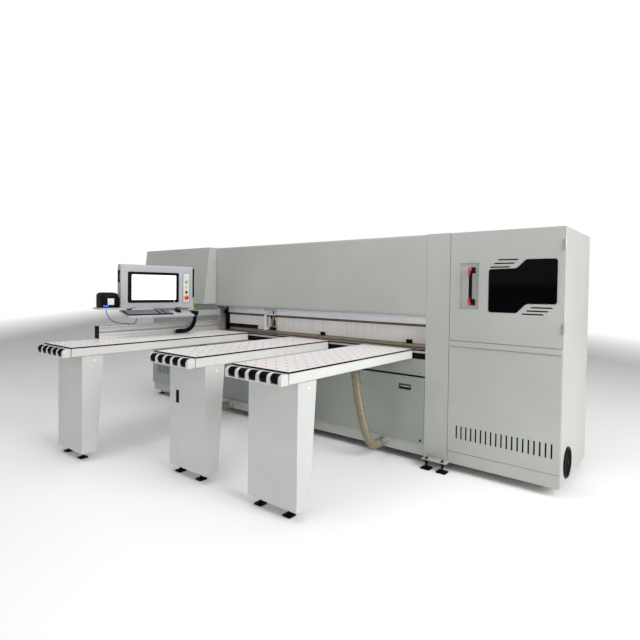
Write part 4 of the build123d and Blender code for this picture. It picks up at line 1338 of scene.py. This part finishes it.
# ---------------------------------------------------------------- base
@dataclass
class Base:
    """Front pull, screws, couplings and levelling feet."""

    pull: tuple[Point, Point] = ((1.293, 0.0, 0.628), (1.409, 0.0, 0.669))
    angle_feet: Pair = (1.609, 1.751)
    angle_y: float = -0.068

    def door_pull(self) -> None:
        """Dark flush pull set into the sliding door."""
        (x0, _, z0), (x1, _, z1) = self.pull
        cup = Shape()
        out, into = 0.003, 0.005
        for low, high in (((x0 - out, z0 - out), (x1 + out, z0 + into)), ((x0 - out, z1 - into), (x1 + out, z1 + out)),
                          ((x0 - out, z0), (x0 + 0.004, z1)), ((x1 - 0.004, z0), (x1 + out, z1))):
            cup.block((low[0], -0.0006, low[1]), (high[0], 0.0032, high[1]), 0.0012, 2)
        cup.block((x0 + 0.003, 0.0085, z0 + 0.003), (x1 - 0.003, 0.0138, z1 - 0.003), 0.002, 2)
        cup.piece("door_pull_cup", Finish.DARK_METAL, Body.FRONT_DOOR, "steel")
        Shape().block((x0 + 0.006, 0.0010, z0 + 0.020), (x1 - 0.006, 0.0080, z0 + 0.031), 0.0028, 3).piece(
            "door_pull_bar", Finish.BRIGHT_STEEL, Body.FRONT_DOOR, "steel")

    def fixings(self) -> None:
        """Lock, latch and screws along the base and the column."""
        lock = Shape().rod((1.510, -0.004, 0.196), Axis.Y, 0.008, 0.011, 0.002)
        lock.block((1.508, -0.0052, 0.190), (1.512, -0.0030, 0.202), 0.0006, 1)
        lock.piece("door_lock", Finish.DARK_METAL, Body.FRONT_DOOR, "steel")
        screws = Shape()
        for x in (-2.560, -1.640, -0.720, 0.200, 1.500):
            screws.screw((x, 0.0, 0.785), Axis.Y, 0.0036)
        for z in (0.690, 1.560):
            screws.screw((1.566, 0.0, z), Axis.Y, 0.0036)
        screws.piece("base_screws", Finish.DARK_METAL, Body.FRAME, "steel")

    def couplings(self) -> None:
        """Stub pipes with band clamps, and collars under the tables."""
        pipes, bands = Shape(), Shape()
        for left, _ in TABLES:
            x, z = left + HOSE_FOOT, HOSE_FOOT_HEIGHT
            pipes.lathe((x, -0.066, z), Axis.Y, [(0.0, 0.032), (0.0, 0.036), (0.040, 0.036), (0.043, 0.0375),
                        (0.046, 0.036), (0.116, 0.036), (0.116, 0.032), (0.0, 0.032)], 36)
            bands.ring((x, -0.056, z), Axis.Y, 0.012, 0.0430, 0.0405, 40)
            bands.ring((x, 0.0020, z), Axis.Y, 0.009, 0.0470, 0.0370, 40)
            bands.block((x - 0.010, -0.058, 0.157), (x + 0.014, -0.042, 0.168), 0.002, 2)
            bands.rod((x - 0.018, -0.050, 0.163), Axis.X, 0.036, 0.0032, 0.0008, 12)
            x, y = left + HOSE_TOP[0], HOSE_TOP[1]
            pipes.lathe((x, y, 0.8980), Axis.Z, [(0.0, 0.0415), (0.0, 0.0460), (0.007, 0.0460),
                        (0.0095, 0.0440), (0.0095, 0.0415), (0.0, 0.0415)], 36)
            bands.ring((x, y, 0.878), Axis.Z, 0.012, 0.0430, 0.0405, 40)
        pipes.piece("coupling_pipes", Finish.BRIGHT_STEEL, Body.FRAME, "steel", ["hose_couplings"])
        bands.piece("hose_bands", Finish.PLATE_STEEL, Body.FRAME, "steel")

    def foot(self, shape: Shape, x: float, y: float, top: float, pad: float = 0.070) -> None:
        """Add one levelling foot.

        Args:
            shape: where it goes.
            x: its place along the beam.
            y: its place in depth.
            top: the surface it carries.
            pad: side of its pad.
        """
        half = pad / 2
        lift = Matrix.Translation((x, y, 0.0))
        shape.slab(oblong((-half, half), (-half, half)), Axis.Z, 0.0002, 0.0095, 0.0015, 0.010, lift)
        rings = [(0.009, 0.0), (0.009, 0.021), (0.014, 0.019), (0.019, 0.0105)]
        step = 0.0
        while 0.024 + step < top - 0.016:
            rings += [(0.0225 + step, 0.0084), (0.0245 + step, 0.0100)]
            step += 0.0040
        rings += [(top - 0.0005, 0.0092), (top - 0.0005, 0.0)]
        shape.lathe((x, y, 0.0), Axis.Z, rings, 14)
        shape.lathe((x, y, top - 0.0142), Axis.Z, [(0.0, 0.009), (0.0, 0.0158), (0.0015, 0.0170),
                    (0.0125, 0.0170), (0.0140, 0.0158), (0.0140, 0.009), (0.0, 0.009)], 6)

    def feet(self) -> None:
        """All the feet, and the foot angle in front of the column."""
        feet = Shape()
        low = 0.070
        spots = [(x, y, 0.172) for x in (-2.560, -1.317, 0.100) for y in (0.090, 0.620)]
        spots += [(x, y, low) for x in (1.910, 2.458) for y in (0.260, 0.790)]
        spots += [(x, self.angle_y, 0.078, 0.084) for x in self.angle_feet]
        spots += [(left + step, seam + 0.156, low) for left, seam in TABLES for step in (0.130, 0.400)]
        spots += [(x, y, low) for x in (-1.180, 1.460) for y in (1.150, 1.930)]
        for spot in spots:
            self.foot(feet, *spot)
        feet.piece("levelling_feet", Finish.BLACK_PLASTIC, Body.FRAME, "black_plastic", ["machine_feet"])
        angle = Shape().block((1.570, -0.092, 0.078), (1.790, -0.0004, 0.084), 0.0015, 2)
        angle.block((1.570, -0.0040, 0.080), (1.790, -0.0004, 0.112), 0.0012, 2)
        angle.piece("foot_angle", Finish.FRONT_PAINT, Body.FRAME, "pale_paint")
        nuts = Shape()
        for x in self.angle_feet:
            nuts.lathe((x, self.angle_y, 0.0838), Axis.Z, [(0.0, 0.0), (0.0, 0.0150), (0.0085, 0.0150),
                       (0.0100, 0.0135), (0.0100, 0.0090), (0.0170, 0.0088), (0.0185, 0.0070), (0.0185, 0.0)], 6)
        nuts.piece("foot_nuts", Finish.DARK_METAL, Body.FRAME, "steel")

    def build(self) -> None:
        """Make the base's pieces."""
        self.door_pull()
        self.fixings()
        self.couplings()
        self.feet()


# ---------------------------------------------------------------- tables
@dataclass
class FloatTables:
    """Three air float tables with trays, nozzles, end caps, rollers and marks."""

    width: float = 0.528
    under: float = 0.908
    wall_top: float = 0.979
    cap: float = 0.066
    pitch: float = 0.099
    roller_radius: float = 0.031
    roller_height: float = 0.950
    roller_back: float = 0.039
    leg_right: float = 0.006

    def columns(self, left: float) -> list[float]:
        """Places of the five columns of nozzles and rollers on a table."""
        return [left + self.width / 2 + column * self.pitch for column in (-2, -1, 0, 1, 2)]

    def trays(self) -> None:
        """Sheet trays with folded lower returns, open where the hose goes in."""
        trays = Shape()
        floor, sheet = self.under, self.under + 0.003
        for left, seam in TABLES:
            right = left + self.width
            near, far = seam + 0.001, -0.003
            walls = (((left + 0.001, near), (left + 0.004, far)), ((right - 0.004, near), (right - 0.001, far)),
                     ((left + 0.001, -0.006), (right - 0.001, far)),
                     ((left + 0.001, near), (right - 0.001, seam + 0.004)))
            sheets = (((left + 0.001, near), (left + 0.111, far)), ((left + 0.183, near), (right - 0.001, far)),
                      ((left + 0.107, near), (left + 0.187, -0.381)), ((left + 0.107, -0.309), (left + 0.187, far)))
            for level, boxes in ((self.wall_top, walls), (sheet, sheets)):
                for low, high in boxes:
                    trays.block((*low, floor), (*high, level), 0.0006, 1)
            for y in (seam + 0.30, seam + 0.90):
                trays.block((left + 0.02, y, floor - 0.0006), (right - 0.02, y + 0.040, floor + 0.001), 0.0004, 1)
        trays.piece("table_trays", Finish.TABLE_PAINT, Body.FRAME, "grey_paint", ["table_boxes"])

    def nozzles(self) -> None:
        """Small bright air nozzles with their balls, in a square grid."""
        nozzles = Shape()
        for left, seam in TABLES:
            for row in range(int((-0.090 - seam) // self.pitch)):
                for x in self.columns(left):
                    y = seam + 0.060 + row * self.pitch
                    nozzles.lathe((x, y, 0.0), Axis.Z, [(0.9850, 0.0048), (0.9903, 0.0072), (0.9906, 0.0062),
                                  (0.9894, 0.0040), (0.9902, 0.0018), (0.9904, 0.0)], 9)
        nozzles.piece("air_nozzles", Finish.DARK_METAL, Body.FRAME, "steel", sharp=50.0)

    def caps(self) -> None:
        """Moulded end caps: fins between the rollers, a bottom bar and a back rail."""
        caps = Shape()
        for left, seam in TABLES:
            front = seam - self.cap
            side = [(seam - 0.0004, self.under), (front, self.under), (front, 0.952), (front + 0.006, 0.966),
                    (front + 0.017, 0.975), (front + 0.030, 0.9785), (seam - 0.0004, 0.9788)]
            half = 0.0330
            edges = [left + 0.001]
            for x in self.columns(left):
                edges += [x - half, x + half]
            edges.append(left + self.width - 0.001)
            for start, end in zip(edges[0::2], edges[1::2]):
                caps.slab(side, Axis.X, start, end, 0.0034)
            inner = left + 0.004
            right = left + self.width - 0.004
            caps.block((inner, front + 0.0015, self.under), (right, seam - 0.002, 0.9165), 0.002, 2)
            caps.block((inner, seam - 0.0060, self.under), (right, seam - 0.0008, 0.9785), 0.002, 2)
        caps.piece("end_cap_mouldings", Finish.TABLE_PAINT, Body.FRAME, "grey_paint")

    def rollers(self) -> None:
        """Ribbed rubber rollers with rounded shoulders."""
        for index, (left, seam) in enumerate(TABLES):
            rolls = Shape()
            start = (0.0, seam - self.roller_back, self.roller_height)
            for x in self.columns(left):
                full = self.roller_radius
                profile = [(-0.0300, 0.0), (-0.0300, full - 0.0075), (-0.0285, full - 0.0035),
                           (-0.0255, full - 0.0008)]
                for rib in range(9):
                    at = -0.0225 + rib * 0.0056
                    profile += [(at - 0.0020, full), (at + 0.0010, full), (at + 0.0016, full - 0.0022),
                                (at + 0.0030, full - 0.0022)]
                profile += [(0.0255, full - 0.0008), (0.0285, full - 0.0035), (0.0300, full - 0.0075), (0.0300, 0.0)]
                shift = Matrix.Translation((x, 0.0, 0.0))
                rolls.lathe(start, Axis.X, profile, 24, shift)
            axle = (left + 0.020, seam - self.roller_back, self.roller_height)
            rolls.rod(axle, Axis.X, self.width - 0.040, 0.008, 0.001, 16)
            rolls.piece(f"end_rollers_{index + 1}", Finish.BLACK_RUBBER, f"rollers_{index + 1}", "black_rubber",
                        [f"table_rollers_{index + 1}"], 45.0)

    def marks(self) -> None:
        """Blank orange rimmed plates on the tables and legs."""
        plates, rims = Shape(), Shape()
        for left, seam in TABLES:
            right = left + self.width - 0.001
            leg = left + self.width - self.leg_right
            for x, y, z in ((right, seam + 0.186, 0.938), (leg, seam + 0.180, 0.864)):
                rims.block((x - 0.0002, y, z - 0.015), (x + 0.0007, y + 0.040, z + 0.015), 0.0003, 1)
                plates.block((x + 0.0001, y + 0.003, z - 0.012), (x + 0.0010, y + 0.037, z + 0.012), 0.0003, 1)
        rims.piece("notice_rims", Finish.ORANGE_RIM, Body.FRAME, "yellow_button")
        plates.piece("notice_plates", Finish.WHITE_PLASTIC, Body.FRAME, "pale_paint")

    def build(self) -> None:
        """Make the tables' pieces."""
        self.trays()
        self.nozzles()
        self.caps()
        self.rollers()
        self.marks()


@dataclass
class Fence:
    """Aluminium stop rail beside the left table."""

    left: float = -1.272
    right: float = -1.200
    front: float = -1.480
    low: float = 0.991
    high: float = 1.112

    def build(self) -> None:
        """Make the rail, its end cap and its holders."""
        x0, x1, low, high = self.left, self.right, self.low, self.high
        outline = [(x0, low), (x1, low)]
        for z in (1.016, 1.046, 1.082):
            outline += [(x1, z), (x1 - 0.008, z), (x1 - 0.008, z + 0.003), (x1 - 0.008, z + 0.007), (x1, z + 0.007)]
        outline += [(x1, high), (x0, high)]
        for z in (1.085, 1.020):
            outline += [(x0, z + 0.007), (x0 + 0.008, z + 0.007), (x0 + 0.008, z), (x0, z)]
        rail = Shape().slab(outline, Axis.Y, self.front, -0.004)
        rail.piece("fence_profile", Finish.FENCE_ALUMINIUM, Body.FRAME, "aluminium", ["fence_rail"], 20.0)
        cap = Shape().block((x0 - 0.002, self.front - 0.008, low - 0.0005),
                            (x1 + 0.002, self.front - 0.0002, high + 0.002), 0.0025, 3)
        for x in (x0 + 0.012, x1 - 0.012):
            for z in (low + 0.014, high - 0.014):
                cap.screw((x, self.front - 0.008, z), Axis.Y, 0.0038)
        cap.piece("fence_cap", Finish.BLACK_PLASTIC, Body.FRAME, "black_plastic")
        hold = Shape()
        for y in (-1.400, -0.300):
            hold.block((x0 + 0.006, y, 0.930), (-1.219, y + 0.070, self.low), 0.003, 2)
        hold.piece("fence_holders", Finish.FRAME_PAINT, Body.FRAME, "grey_paint")
        scale = Shape()
        for step in range(70):
            y = -1.440 + step * 0.020
            tall = 0.0060 if step % 5 == 0 else 0.0035
            scale.block((x1 - 0.0060 - tall, y, high - 0.0001), (x1 - 0.0060, y + 0.0012, high + 0.0002))
        scale.piece("fence_scale", Finish.DARK_METAL, Body.FRAME, "steel")


# ---------------------------------------------------------------- console
@dataclass
class Console:
    """Control console on its swivel arm; local x points out of the screen."""

    at: Point = (-1.227, -0.820, 0.0)
    turn: float = math.radians(-9.0)
    half: float = 0.400
    low: float = 1.272
    high: float = 1.735
    monitor_y: Pair = (-0.3255, 0.2335)
    monitor_z: Pair = (1.3335, 1.6595)
    screen_y: Pair = (-0.287, 0.202)
    screen_z: Pair = (1.363, 1.631)
    switch_y: float = 0.325
    buttons: dict[str, float] = field(default_factory=lambda: {
        "lamp": 1.634, "start": 1.562, "pause": 1.505, "reset": 1.447})
    stop_z: float = 1.386
    corner: float = 0.014

    @property
    def place(self) -> Matrix:
        """Transform from the console's own frame to the machine's."""
        return Matrix.Translation(self.at) @ Matrix.Rotation(self.turn, 4, "Z")

    def housing(self) -> None:
        """Painted housing with a rounded top and end plates."""
        low, high = self.low, self.high
        front = [(-0.086, low), (0.0, low), (0.0, high - 0.030)]
        for step in range(1, 7):
            angle = step * math.pi / 12
            front.append((-0.030 + 0.030 * math.cos(angle), high - 0.030 + 0.030 * math.sin(angle)))
        front += [(-0.058, high), (-0.072, high - 0.008), (-0.086, high - 0.040)]
        body = Shape().slab(front, Axis.Y, -self.half + 0.003, self.half - 0.003, 0.0, 0.0, self.place)
        for y in (-self.half, self.half - 0.003):
            body.slab(front, Axis.Y, y, y + 0.003, 0.0009, 0.0, self.place)
        body.ring((-1.231, -0.420, 1.238), Axis.Z, 0.033, 0.060, 0.0245, 40)
        body.piece("console_housing", Finish.CONSOLE_PAINT, Body.CONSOLE, "pale_paint", ["console_box"])
        vents = Shape()
        for row in range(8):
            z = 1.420 + row * 0.018
            vents.block((-0.0875, -0.160, z), (-0.0858, 0.160, z + 0.007), 0.0005, 1, self.place)
        vents.piece("console_vents", Finish.BLACK_PLASTIC, Body.CONSOLE, "black_plastic")

    def surround(self, outer: tuple[Pair, Pair], hole: tuple[Pair, Pair], low: float, high: float) -> Shape:
        """A flat frame with rounded corners on the console's face.

        Args:
            outer: its outer spans across and in height.
            hole: its inner spans across and in height.
            low: back plane.
            high: front plane.

        Returns:
            The new shape.
        """
        corners = [(low, *pair) for pair in oblong(*outer)]
        (left, right), (bottom, top) = hole
        opening = ((low, left, bottom), (low, right, top))
        return Shape().rim(corners, self.corner, self.corner * 0.5, (high - low, 0.0, 0.0), opening, self.place)

    def display(self) -> None:
        """Monitor bezel, lit screen and its lamp."""
        bezel = self.surround((self.monitor_y, self.monitor_z), (self.screen_y, self.screen_z), -0.004, 0.0055)
        bezel.piece("monitor_bezel", Finish.MONITOR_BLACK, Body.CONSOLE, "monitor_black", ["monitor"])
        outline = oblong(self.screen_y, self.screen_z, 0.002)
        pane = Shape().slab(outline, Axis.X, 0.0002, 0.0016, 0.0, 0.010, self.place)
        made = pane.piece("lit_screen", Finish.MONITOR_BLACK, Body.CONSOLE, "monitor_black")
        spans = LitScreen("lit_screen", 1.15, (0.0, -1.105, 1.363), (0.0, -0.620, 1.631))
        made.data.materials[0] = spans.build()
        Shape().rod((0.0050, 0.180, 1.3485), Axis.X, 0.0016, 0.0040, 0.0006, 16, self.place).piece(
            "monitor_lamp", Finish.ORANGE_LED, Body.CONSOLE, "yellow_button")

    def switches(self) -> None:
        """Switch plate with a dark rim, collars, caps and the stop button."""
        y = self.switch_y
        plate, collars = Shape(), Shape()
        hole = ((0.2865, 0.3625), (1.3355, 1.6595))
        rim = self.surround(((0.2825, 0.3665), (1.3315, 1.6635)), hole, -0.002, 0.0030)
        rim.piece("switch_rim", Finish.DARK_METAL, Body.CONSOLE, "monitor_black")
        plate.slab(oblong((0.2860, 0.3630), (1.3350, 1.6600)), Axis.X, 0.0, 0.0020, 0.0, 0.011, self.place)
        plate.piece("switch_plate", Finish.WHITE_PLASTIC, Body.CONSOLE, "pale_paint", ["button_plate"])
        for z in self.buttons.values():
            collars.ring((0.0018, y, z), Axis.X, 0.0050, 0.0190, 0.0134, 32, self.place)
        collars.ring((0.0018, y, self.stop_z), Axis.X, 0.0040, 0.0195, 0.0124, 32, self.place)
        collars.piece("switch_collars", Finish.BRIGHT_STEEL, Body.CONSOLE, "steel")
        Shape().rod((0.0018, y, self.stop_z), Axis.X, 0.0028, 0.0300, 0.0008, 40, self.place).piece(
            "stop_plate", Finish.YELLOW_PLATE, Body.CONSOLE, "yellow_button")
        caps = {"start": Finish.GREEN_CAP, "pause": Finish.AMBER_CAP, "reset": Finish.BLACK_PLASTIC}
        slots = {"start": "green_button", "pause": "yellow_button", "reset": "black_button"}
        for name, finish in caps.items():
            profile = [(-0.008, 0.0), (-0.008, 0.0118), (0.0090, 0.0122), (0.0104, 0.0112), (0.0108, 0.0085),
                       (0.0100, 0.0)]
            Shape().lathe((0.0, y, self.buttons[name]), Axis.X, profile, 32, self.place).piece(
                f"{name}_cap", finish, f"{name}_push", slots[name], [f"{name}_button"], 40.0)
        z = self.buttons["lamp"]
        lamp = Shape().block((-0.008, y - 0.0125, z - 0.0105), (0.0108, y + 0.0125, z + 0.0105), 0.0030, 3, self.place)
        lamp.piece("lamp_cap", Finish.MINT_LAMP, "lamp_push", "mint_button", ["lamp_button"])
        head = [(-0.008, 0.0), (-0.008, 0.0118), (0.0120, 0.0118), (0.0128, 0.0190), (0.0160, 0.0208),
                (0.0200, 0.0205), (0.0228, 0.0165), (0.0238, 0.0090), (0.0240, 0.0)]
        Shape().lathe((0.0, y, self.stop_z), Axis.X, head, 36, self.place).piece(
            "stop_mushroom", Finish.RED_CAP, "stop_push", "red_button", ["emergency_stop"], 40.0)

    def grips(self) -> None:
        """Black bow handles on both sides."""
        grips = Shape()
        grips.lathe((-0.034, 0.424, 1.388), Axis.Z, [(0.0, 0.0), (0.0, 0.0100), (0.0040, 0.0130), (0.060, 0.0130),
                    (0.110, 0.0118), (0.163, 0.0113), (0.216, 0.0118), (0.266, 0.0130), (0.322, 0.0130),
                    (0.326, 0.0100), (0.326, 0.0)], 24, self.place)
        for z in (1.388, 1.688):
            grips.block((-0.046, 0.4002, z), (-0.022, 0.4280, z + 0.026), 0.005, 3, self.place)
            grips.block((-0.050, 0.4002, z - 0.004), (-0.018, 0.4042, z + 0.030), 0.0015, 2, self.place)
        grips.lathe((-0.020, -0.412, 1.546), Axis.Z, [(0.0, 0.0), (0.0, 0.0070), (0.0030, 0.0090), (0.040, 0.0086),
                    (0.086, 0.0086), (0.123, 0.0090), (0.126, 0.0070), (0.126, 0.0)], 20, self.place)
        for z in (1.546, 1.654):
            grips.block((-0.028, -0.4160, z), (-0.012, -0.4002, z + 0.018), 0.004, 3, self.place)
        grips.piece("console_grips", Finish.BLACK_PLASTIC, Body.CONSOLE, "black_plastic", ["console_handles"])

    @property
    def slope(self) -> Matrix:
        """Transform from the flat tray's own frame to the machine's."""
        back = Matrix.Translation((-0.040, 0.0, 1.258))
        return self.place @ back @ Matrix.Rotation(math.radians(12.5), 4, "Y")

    def tray(self) -> None:
        """Folded keyboard tray, its hangers and the printer shelf."""
        tray = Shape().block((0.0, -0.396, -0.0025), (0.258, 0.322, 0.0), 0.0010, 2, self.slope)
        tray.block((0.2555, -0.396, -0.018), (0.258, 0.322, 0.0), 0.0010, 2, self.slope)
        for y in (-0.396, 0.3195):
            tray.block((0.0, y, -0.014), (0.258, y + 0.0025, 0.0), 0.0010, 2, self.slope)
        for y in (-0.330, 0.190):
            tray.block((-0.036, y, 1.2535), (-0.0325, y + 0.060, 1.2718), 0.0008, 1, self.place)
        tray.block((-0.086, -0.640, 1.2852), (0.120, -0.402, 1.2880), 0.0010, 2, self.place)
        tray.block((0.1175, -0.640, 1.2700), (0.120, -0.402, 1.2875), 0.0010, 2, self.place)
        tray.block((-0.086, -0.640, 1.2740), (0.119, -0.6375, 1.2875), 0.0010, 1, self.place)
        tray.block((-0.080, -0.4035, 1.2842), (-0.010, -0.4004, 1.3300), 0.0010, 1, self.place)
        tray.piece("tray_and_shelf", Finish.CONSOLE_PAINT, Body.CONSOLE, "pale_paint", ["keyboard_tray"])
        slots = Shape()
        for y in (-0.322, 0.198):
            slots.block((-0.0320, y, 1.2590), (-0.0310, y + 0.044, 1.2680), 0.0008, 1, self.place)
        for y in (-0.300, 0.200):
            slots.block((0.0001, y, 1.2740), (0.0009, y + 0.060, 1.2800), 0.0003, 1, self.place)
        slots.piece("hanger_slots", Finish.BLACK_RUBBER, Body.CONSOLE, "monitor_black")

    def tools(self) -> None:
        """Keyboard with its keys, mouse and the green holder at the side."""
        deck = Shape().block((0.056, -0.386, 0.0003), (0.222, 0.094, 0.0100), 0.003, 2, self.slope)
        deck.piece("keyboard_deck", Finish.BLACK_PLASTIC, Body.CONSOLE, "black_plastic", ["keyboard"])
        keys = Shape()
        for row in range(6):
            x = 0.063 + row * 0.0258
            for column in range(22):
                y = -0.380 + column * 0.0214
                if column in (15, 18) or (row == 5 and 4 < column < 11):
                    continue
                keys.block((x, y, 0.0096), (x + 0.0208, y + 0.0180, 0.0165), 0.0018, 1, self.slope)
        keys.block((0.1920, -0.2730, 0.0096), (0.2128, -0.1480, 0.0165), 0.0018, 1, self.slope)
        keys.piece("keyboard_keys", Finish.GREY_KEYS, Body.CONSOLE, "black_plastic")
        mouse = Shape()
        part = bmesh.new()
        bmesh.ops.create_uvsphere(part, u_segments=24, v_segments=14, radius=1.0)
        bmesh.ops.scale(part, vec=(0.050, 0.030, 0.0335), verts=part.verts)
        bmesh.ops.bisect_plane(part, geom=part.verts[:] + part.edges[:] + part.faces[:], plane_co=(0.0, 0.0, 0.0),
                               plane_no=(0.0, 0.0, -1.0), clear_outer=True)
        bmesh.ops.holes_fill(part, edges=[e for e in part.edges if e.is_boundary], sides=0)
        mouse.merge(part, self.slope @ Matrix.Translation((0.110, 0.194, 0.0006)))
        mouse.rod((0.0850, 0.1895, 0.0270), Axis.Y, 0.009, 0.0060, 0.001, 16, self.slope)
        mouse.piece("mouse_shell", Finish.BLACK_PLASTIC, Body.CONSOLE, "black_plastic", ["mouse"])
        green = Shape().lathe((-0.034, 0.418, 1.242), Axis.Z, [(0.0, 0.0), (0.0, 0.0095), (0.004, 0.0130),
                              (0.060, 0.0145), (0.070, 0.0120), (0.076, 0.0145), (0.110, 0.0138), (0.118, 0.0085),
                              (0.118, 0.0)], 20, self.place)
        green.block((-0.046, 0.4005, 1.300), (-0.022, 0.4100, 1.330), 0.002, 2, self.place)
        green.piece("air_gun_grip", Finish.LIME_GRIP, Body.CONSOLE, "green_button")

    def printer(self) -> None:
        """Rounded label printer with its paper window and status light."""
        outline = [(-0.613, 1.2883), (-0.437, 1.2883), (-0.437, 1.382), (-0.462, 1.430), (-0.480, 1.438),
                   (-0.594, 1.438), (-0.613, 1.418)]
        body = Shape().slab(outline, Axis.X, -0.080, 0.092, 0.007, 0.0, self.place)
        body.block((-0.060, -0.590, 1.4360), (0.070, -0.490, 1.4410), 0.0020, 2, self.place)
        body.block((0.0900, -0.604, 1.2930), (0.0945, -0.446, 1.2965), 0.0012, 1, self.place)
        body.piece("printer_case", Finish.BLACK_PLASTIC, Body.CONSOLE, "black_plastic", ["label_printer"])
        paper = Shape().block((0.0905, -0.556, 1.3180), (0.0945, -0.494, 1.3820), 0.0012, 2, self.place)
        paper.block((0.0940, -0.550, 1.3240), (0.0952, -0.500, 1.3480), 0.0004, 1, self.place)
        paper.piece("label_paper", Finish.WHITE_PLASTIC, Body.CONSOLE, "pale_paint")
        light = Shape().block((0.0905, -0.598, 1.2985), (0.0955, -0.548, 1.3140), 0.0022, 3, self.place)
        light.piece("printer_light", Finish.BLUE_LED, Body.CONSOLE, "mint_button")

    def arm(self) -> None:
        """Square arm from the machine, gland box, bolts and swivel post."""
        arm = Shape().block((-1.262, -0.440, 1.171), (-1.200, -0.0002, 1.236), 0.004, 3)
        arm.block((-1.300, -0.012, 1.150), (-1.190, -0.0002, 1.260), 0.003, 2)
        arm.block((-1.266, -0.443, 1.168), (-1.196, -0.437, 1.239), 0.002, 2)
        arm.lathe((-1.231, -0.420, 1.236), Axis.Z, [(0.0, 0.0), (0.0, 0.0240), (0.026, 0.0240), (0.026, 0.0)], 32)
        arm.piece("swivel_arm", Finish.FRAME_PAINT, Body.FRAME, "grey_paint", ["console_arm"])
        gland = Shape().block((-1.199, -0.418, 1.188), (-1.142, -0.354, 1.232), 0.003, 2)
        gland.lathe((-1.168, -0.386, 1.1772), Axis.Z, [(0.0, 0.0222), (0.0, 0.0262), (0.0110, 0.0262),
                    (0.0110, 0.0222), (0.0, 0.0222)], 8)
        for x in (-1.290, -1.200):
            for z in (1.160, 1.250):
                gland.screw((x, -0.012, z), Axis.Y, 0.0065)
        gland.piece("gland_box", Finish.BLACK_PLASTIC, Body.FRAME, "black_plastic")

    def build(self) -> None:
        """Make the console's pieces."""
        self.housing()
        self.display()
        self.switches()
        self.grips()
        self.tray()
        self.tools()
        self.printer()
        self.arm()


# ---------------------------------------------------------------- rear feed
@dataclass
class RearFeed:
    """Support rollers on the rear tracks and pads on the grippers."""

    first: float = -1.040
    pitch: float = 0.560
    count: int = 5
    grips: tuple[float, ...] = (-0.760, -0.200, 0.360, 0.920)
    bridge: float = 1.700

    def build(self) -> None:
        """Make the rear feed's pieces."""
        rollers = Shape()
        for index in range(self.count):
            x = self.first + index * self.pitch
            for step in range(13):
                y = 0.720 + step * 0.100
                rollers.lathe((x + 0.006, y, 0.9745), Axis.X, [(0.0, 0.0), (0.0, 0.0130), (0.003, 0.0150),
                              (0.045, 0.0150), (0.048, 0.0130), (0.048, 0.0)], 12)
        rollers.piece("track_rollers", Finish.BLACK_RUBBER, Body.FRAME, "black_rubber")
        pads = Shape()
        for x in self.grips:
            for step in range(5):
                y = self.bridge - 0.150 + step * 0.024
                pads.block((x + 0.014, y, 1.0008), (x + 0.066, y + 0.012, 1.0030), 0.0005, 1)
        pads.piece("jaw_pads", Finish.BLACK_RUBBER, Body.JAWS, "black_rubber")
        bolts = Shape()
        for x in self.grips:
            for z in (1.040, 1.120, 1.200, 1.270):
                for side in (0.018, 0.062):
                    bolts.screw((x + side, self.bridge - 0.020, z), Axis.Y, 0.0060)
        bolts.piece("gripper_bolts", Finish.DARK_METAL, Body.PUSHER, "steel")


# ---------------------------------------------------------------- dressing
@dataclass
class Dressing:
    """Finishes of the CAD pieces that show as they are."""

    finishes: dict[str, Finish] = field(default_factory=lambda: {
        # base_cover, base_door and left_end_frame take the base paint, darkened as painted shade
        "base_frame": Finish.FRAME_PAINT, "base_cover": Finish.BASE_PAINT, "base_door": Finish.BASE_PAINT,
        # edge_strips take the near black that paints the shade in the recess
        "plinths": Finish.FRONT_PAINT, "saw_tables": Finish.TABLE_STEEL, "edge_strips": Finish.BLACK_EDGE,
        "left_end_frame": Finish.BASE_PAINT, "left_housing": Finish.FRONT_PAINT,
        # cabinet_shell and pusher_bridge take the shell paint, lightened as painted light
        "column_cover": Finish.FRONT_PAINT, "cabinet_shell": Finish.SHELL_PAINT,
        "cabinet_lower_panel": Finish.FRONT_PAINT, "cabinet_door": Finish.FRONT_PAINT,
        "door_window": Finish.WINDOW, "door_hinges": Finish.PLATE_STEEL, "fan_impeller": Finish.BLACK_PLASTIC,
        "beam_frame": Finish.FRAME_PAINT, "beam_cover": Finish.FRONT_PAINT,
        "pressure_beam": Finish.CLAMP_ALUMINIUM, "carriage": Finish.PLATE_STEEL, "saw_slide": Finish.PLATE_STEEL,
        "saw_motor": Finish.MOTOR_PAINT, "table_tops": Finish.TABLE_TOP, "table_legs": Finish.LEG_PAINT,
        "rear_frame": Finish.FRAME_PAINT, "pusher_bridge": Finish.SHELL_PAINT, "gripper_jaws": Finish.DARK_METAL})

    def build(self) -> None:
        """Give each node its finish, and the blades their ground rings."""
        for name, finish in self.finishes.items():
            self.dress(name, finish.material())
        for name in ("main_blade", "scoring_blade"):
            low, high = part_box(name)
            centre = tuple((low + high) / 2)
            self.dress(name, SawSteel(f"{name}_steel", (0.62, 0.62, 0.64), centre).build())

    @staticmethod
    def dress(name: str, material: bpy.types.Material) -> None:
        """Put a material on a CAD node.

        Args:
            name: the node.
            material: its material.
        """
        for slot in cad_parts[name].material_slots:
            slot.material = material
        LOG.info("dressed %s with %s", name, material.name)


def main() -> None:
    """Build the studio, the flexible runs and every sub-assembly."""
    studio = Studio()
    console = Console()
    studio.camera()
    Flexibles().build(console)
    for part in (Cabinet(), BeamFront(), Base(), FloatTables(), Fence(), console, RearFeed(), Dressing()):
        part.build()
    studio.light()


if __name__ == "__main__":
    main()
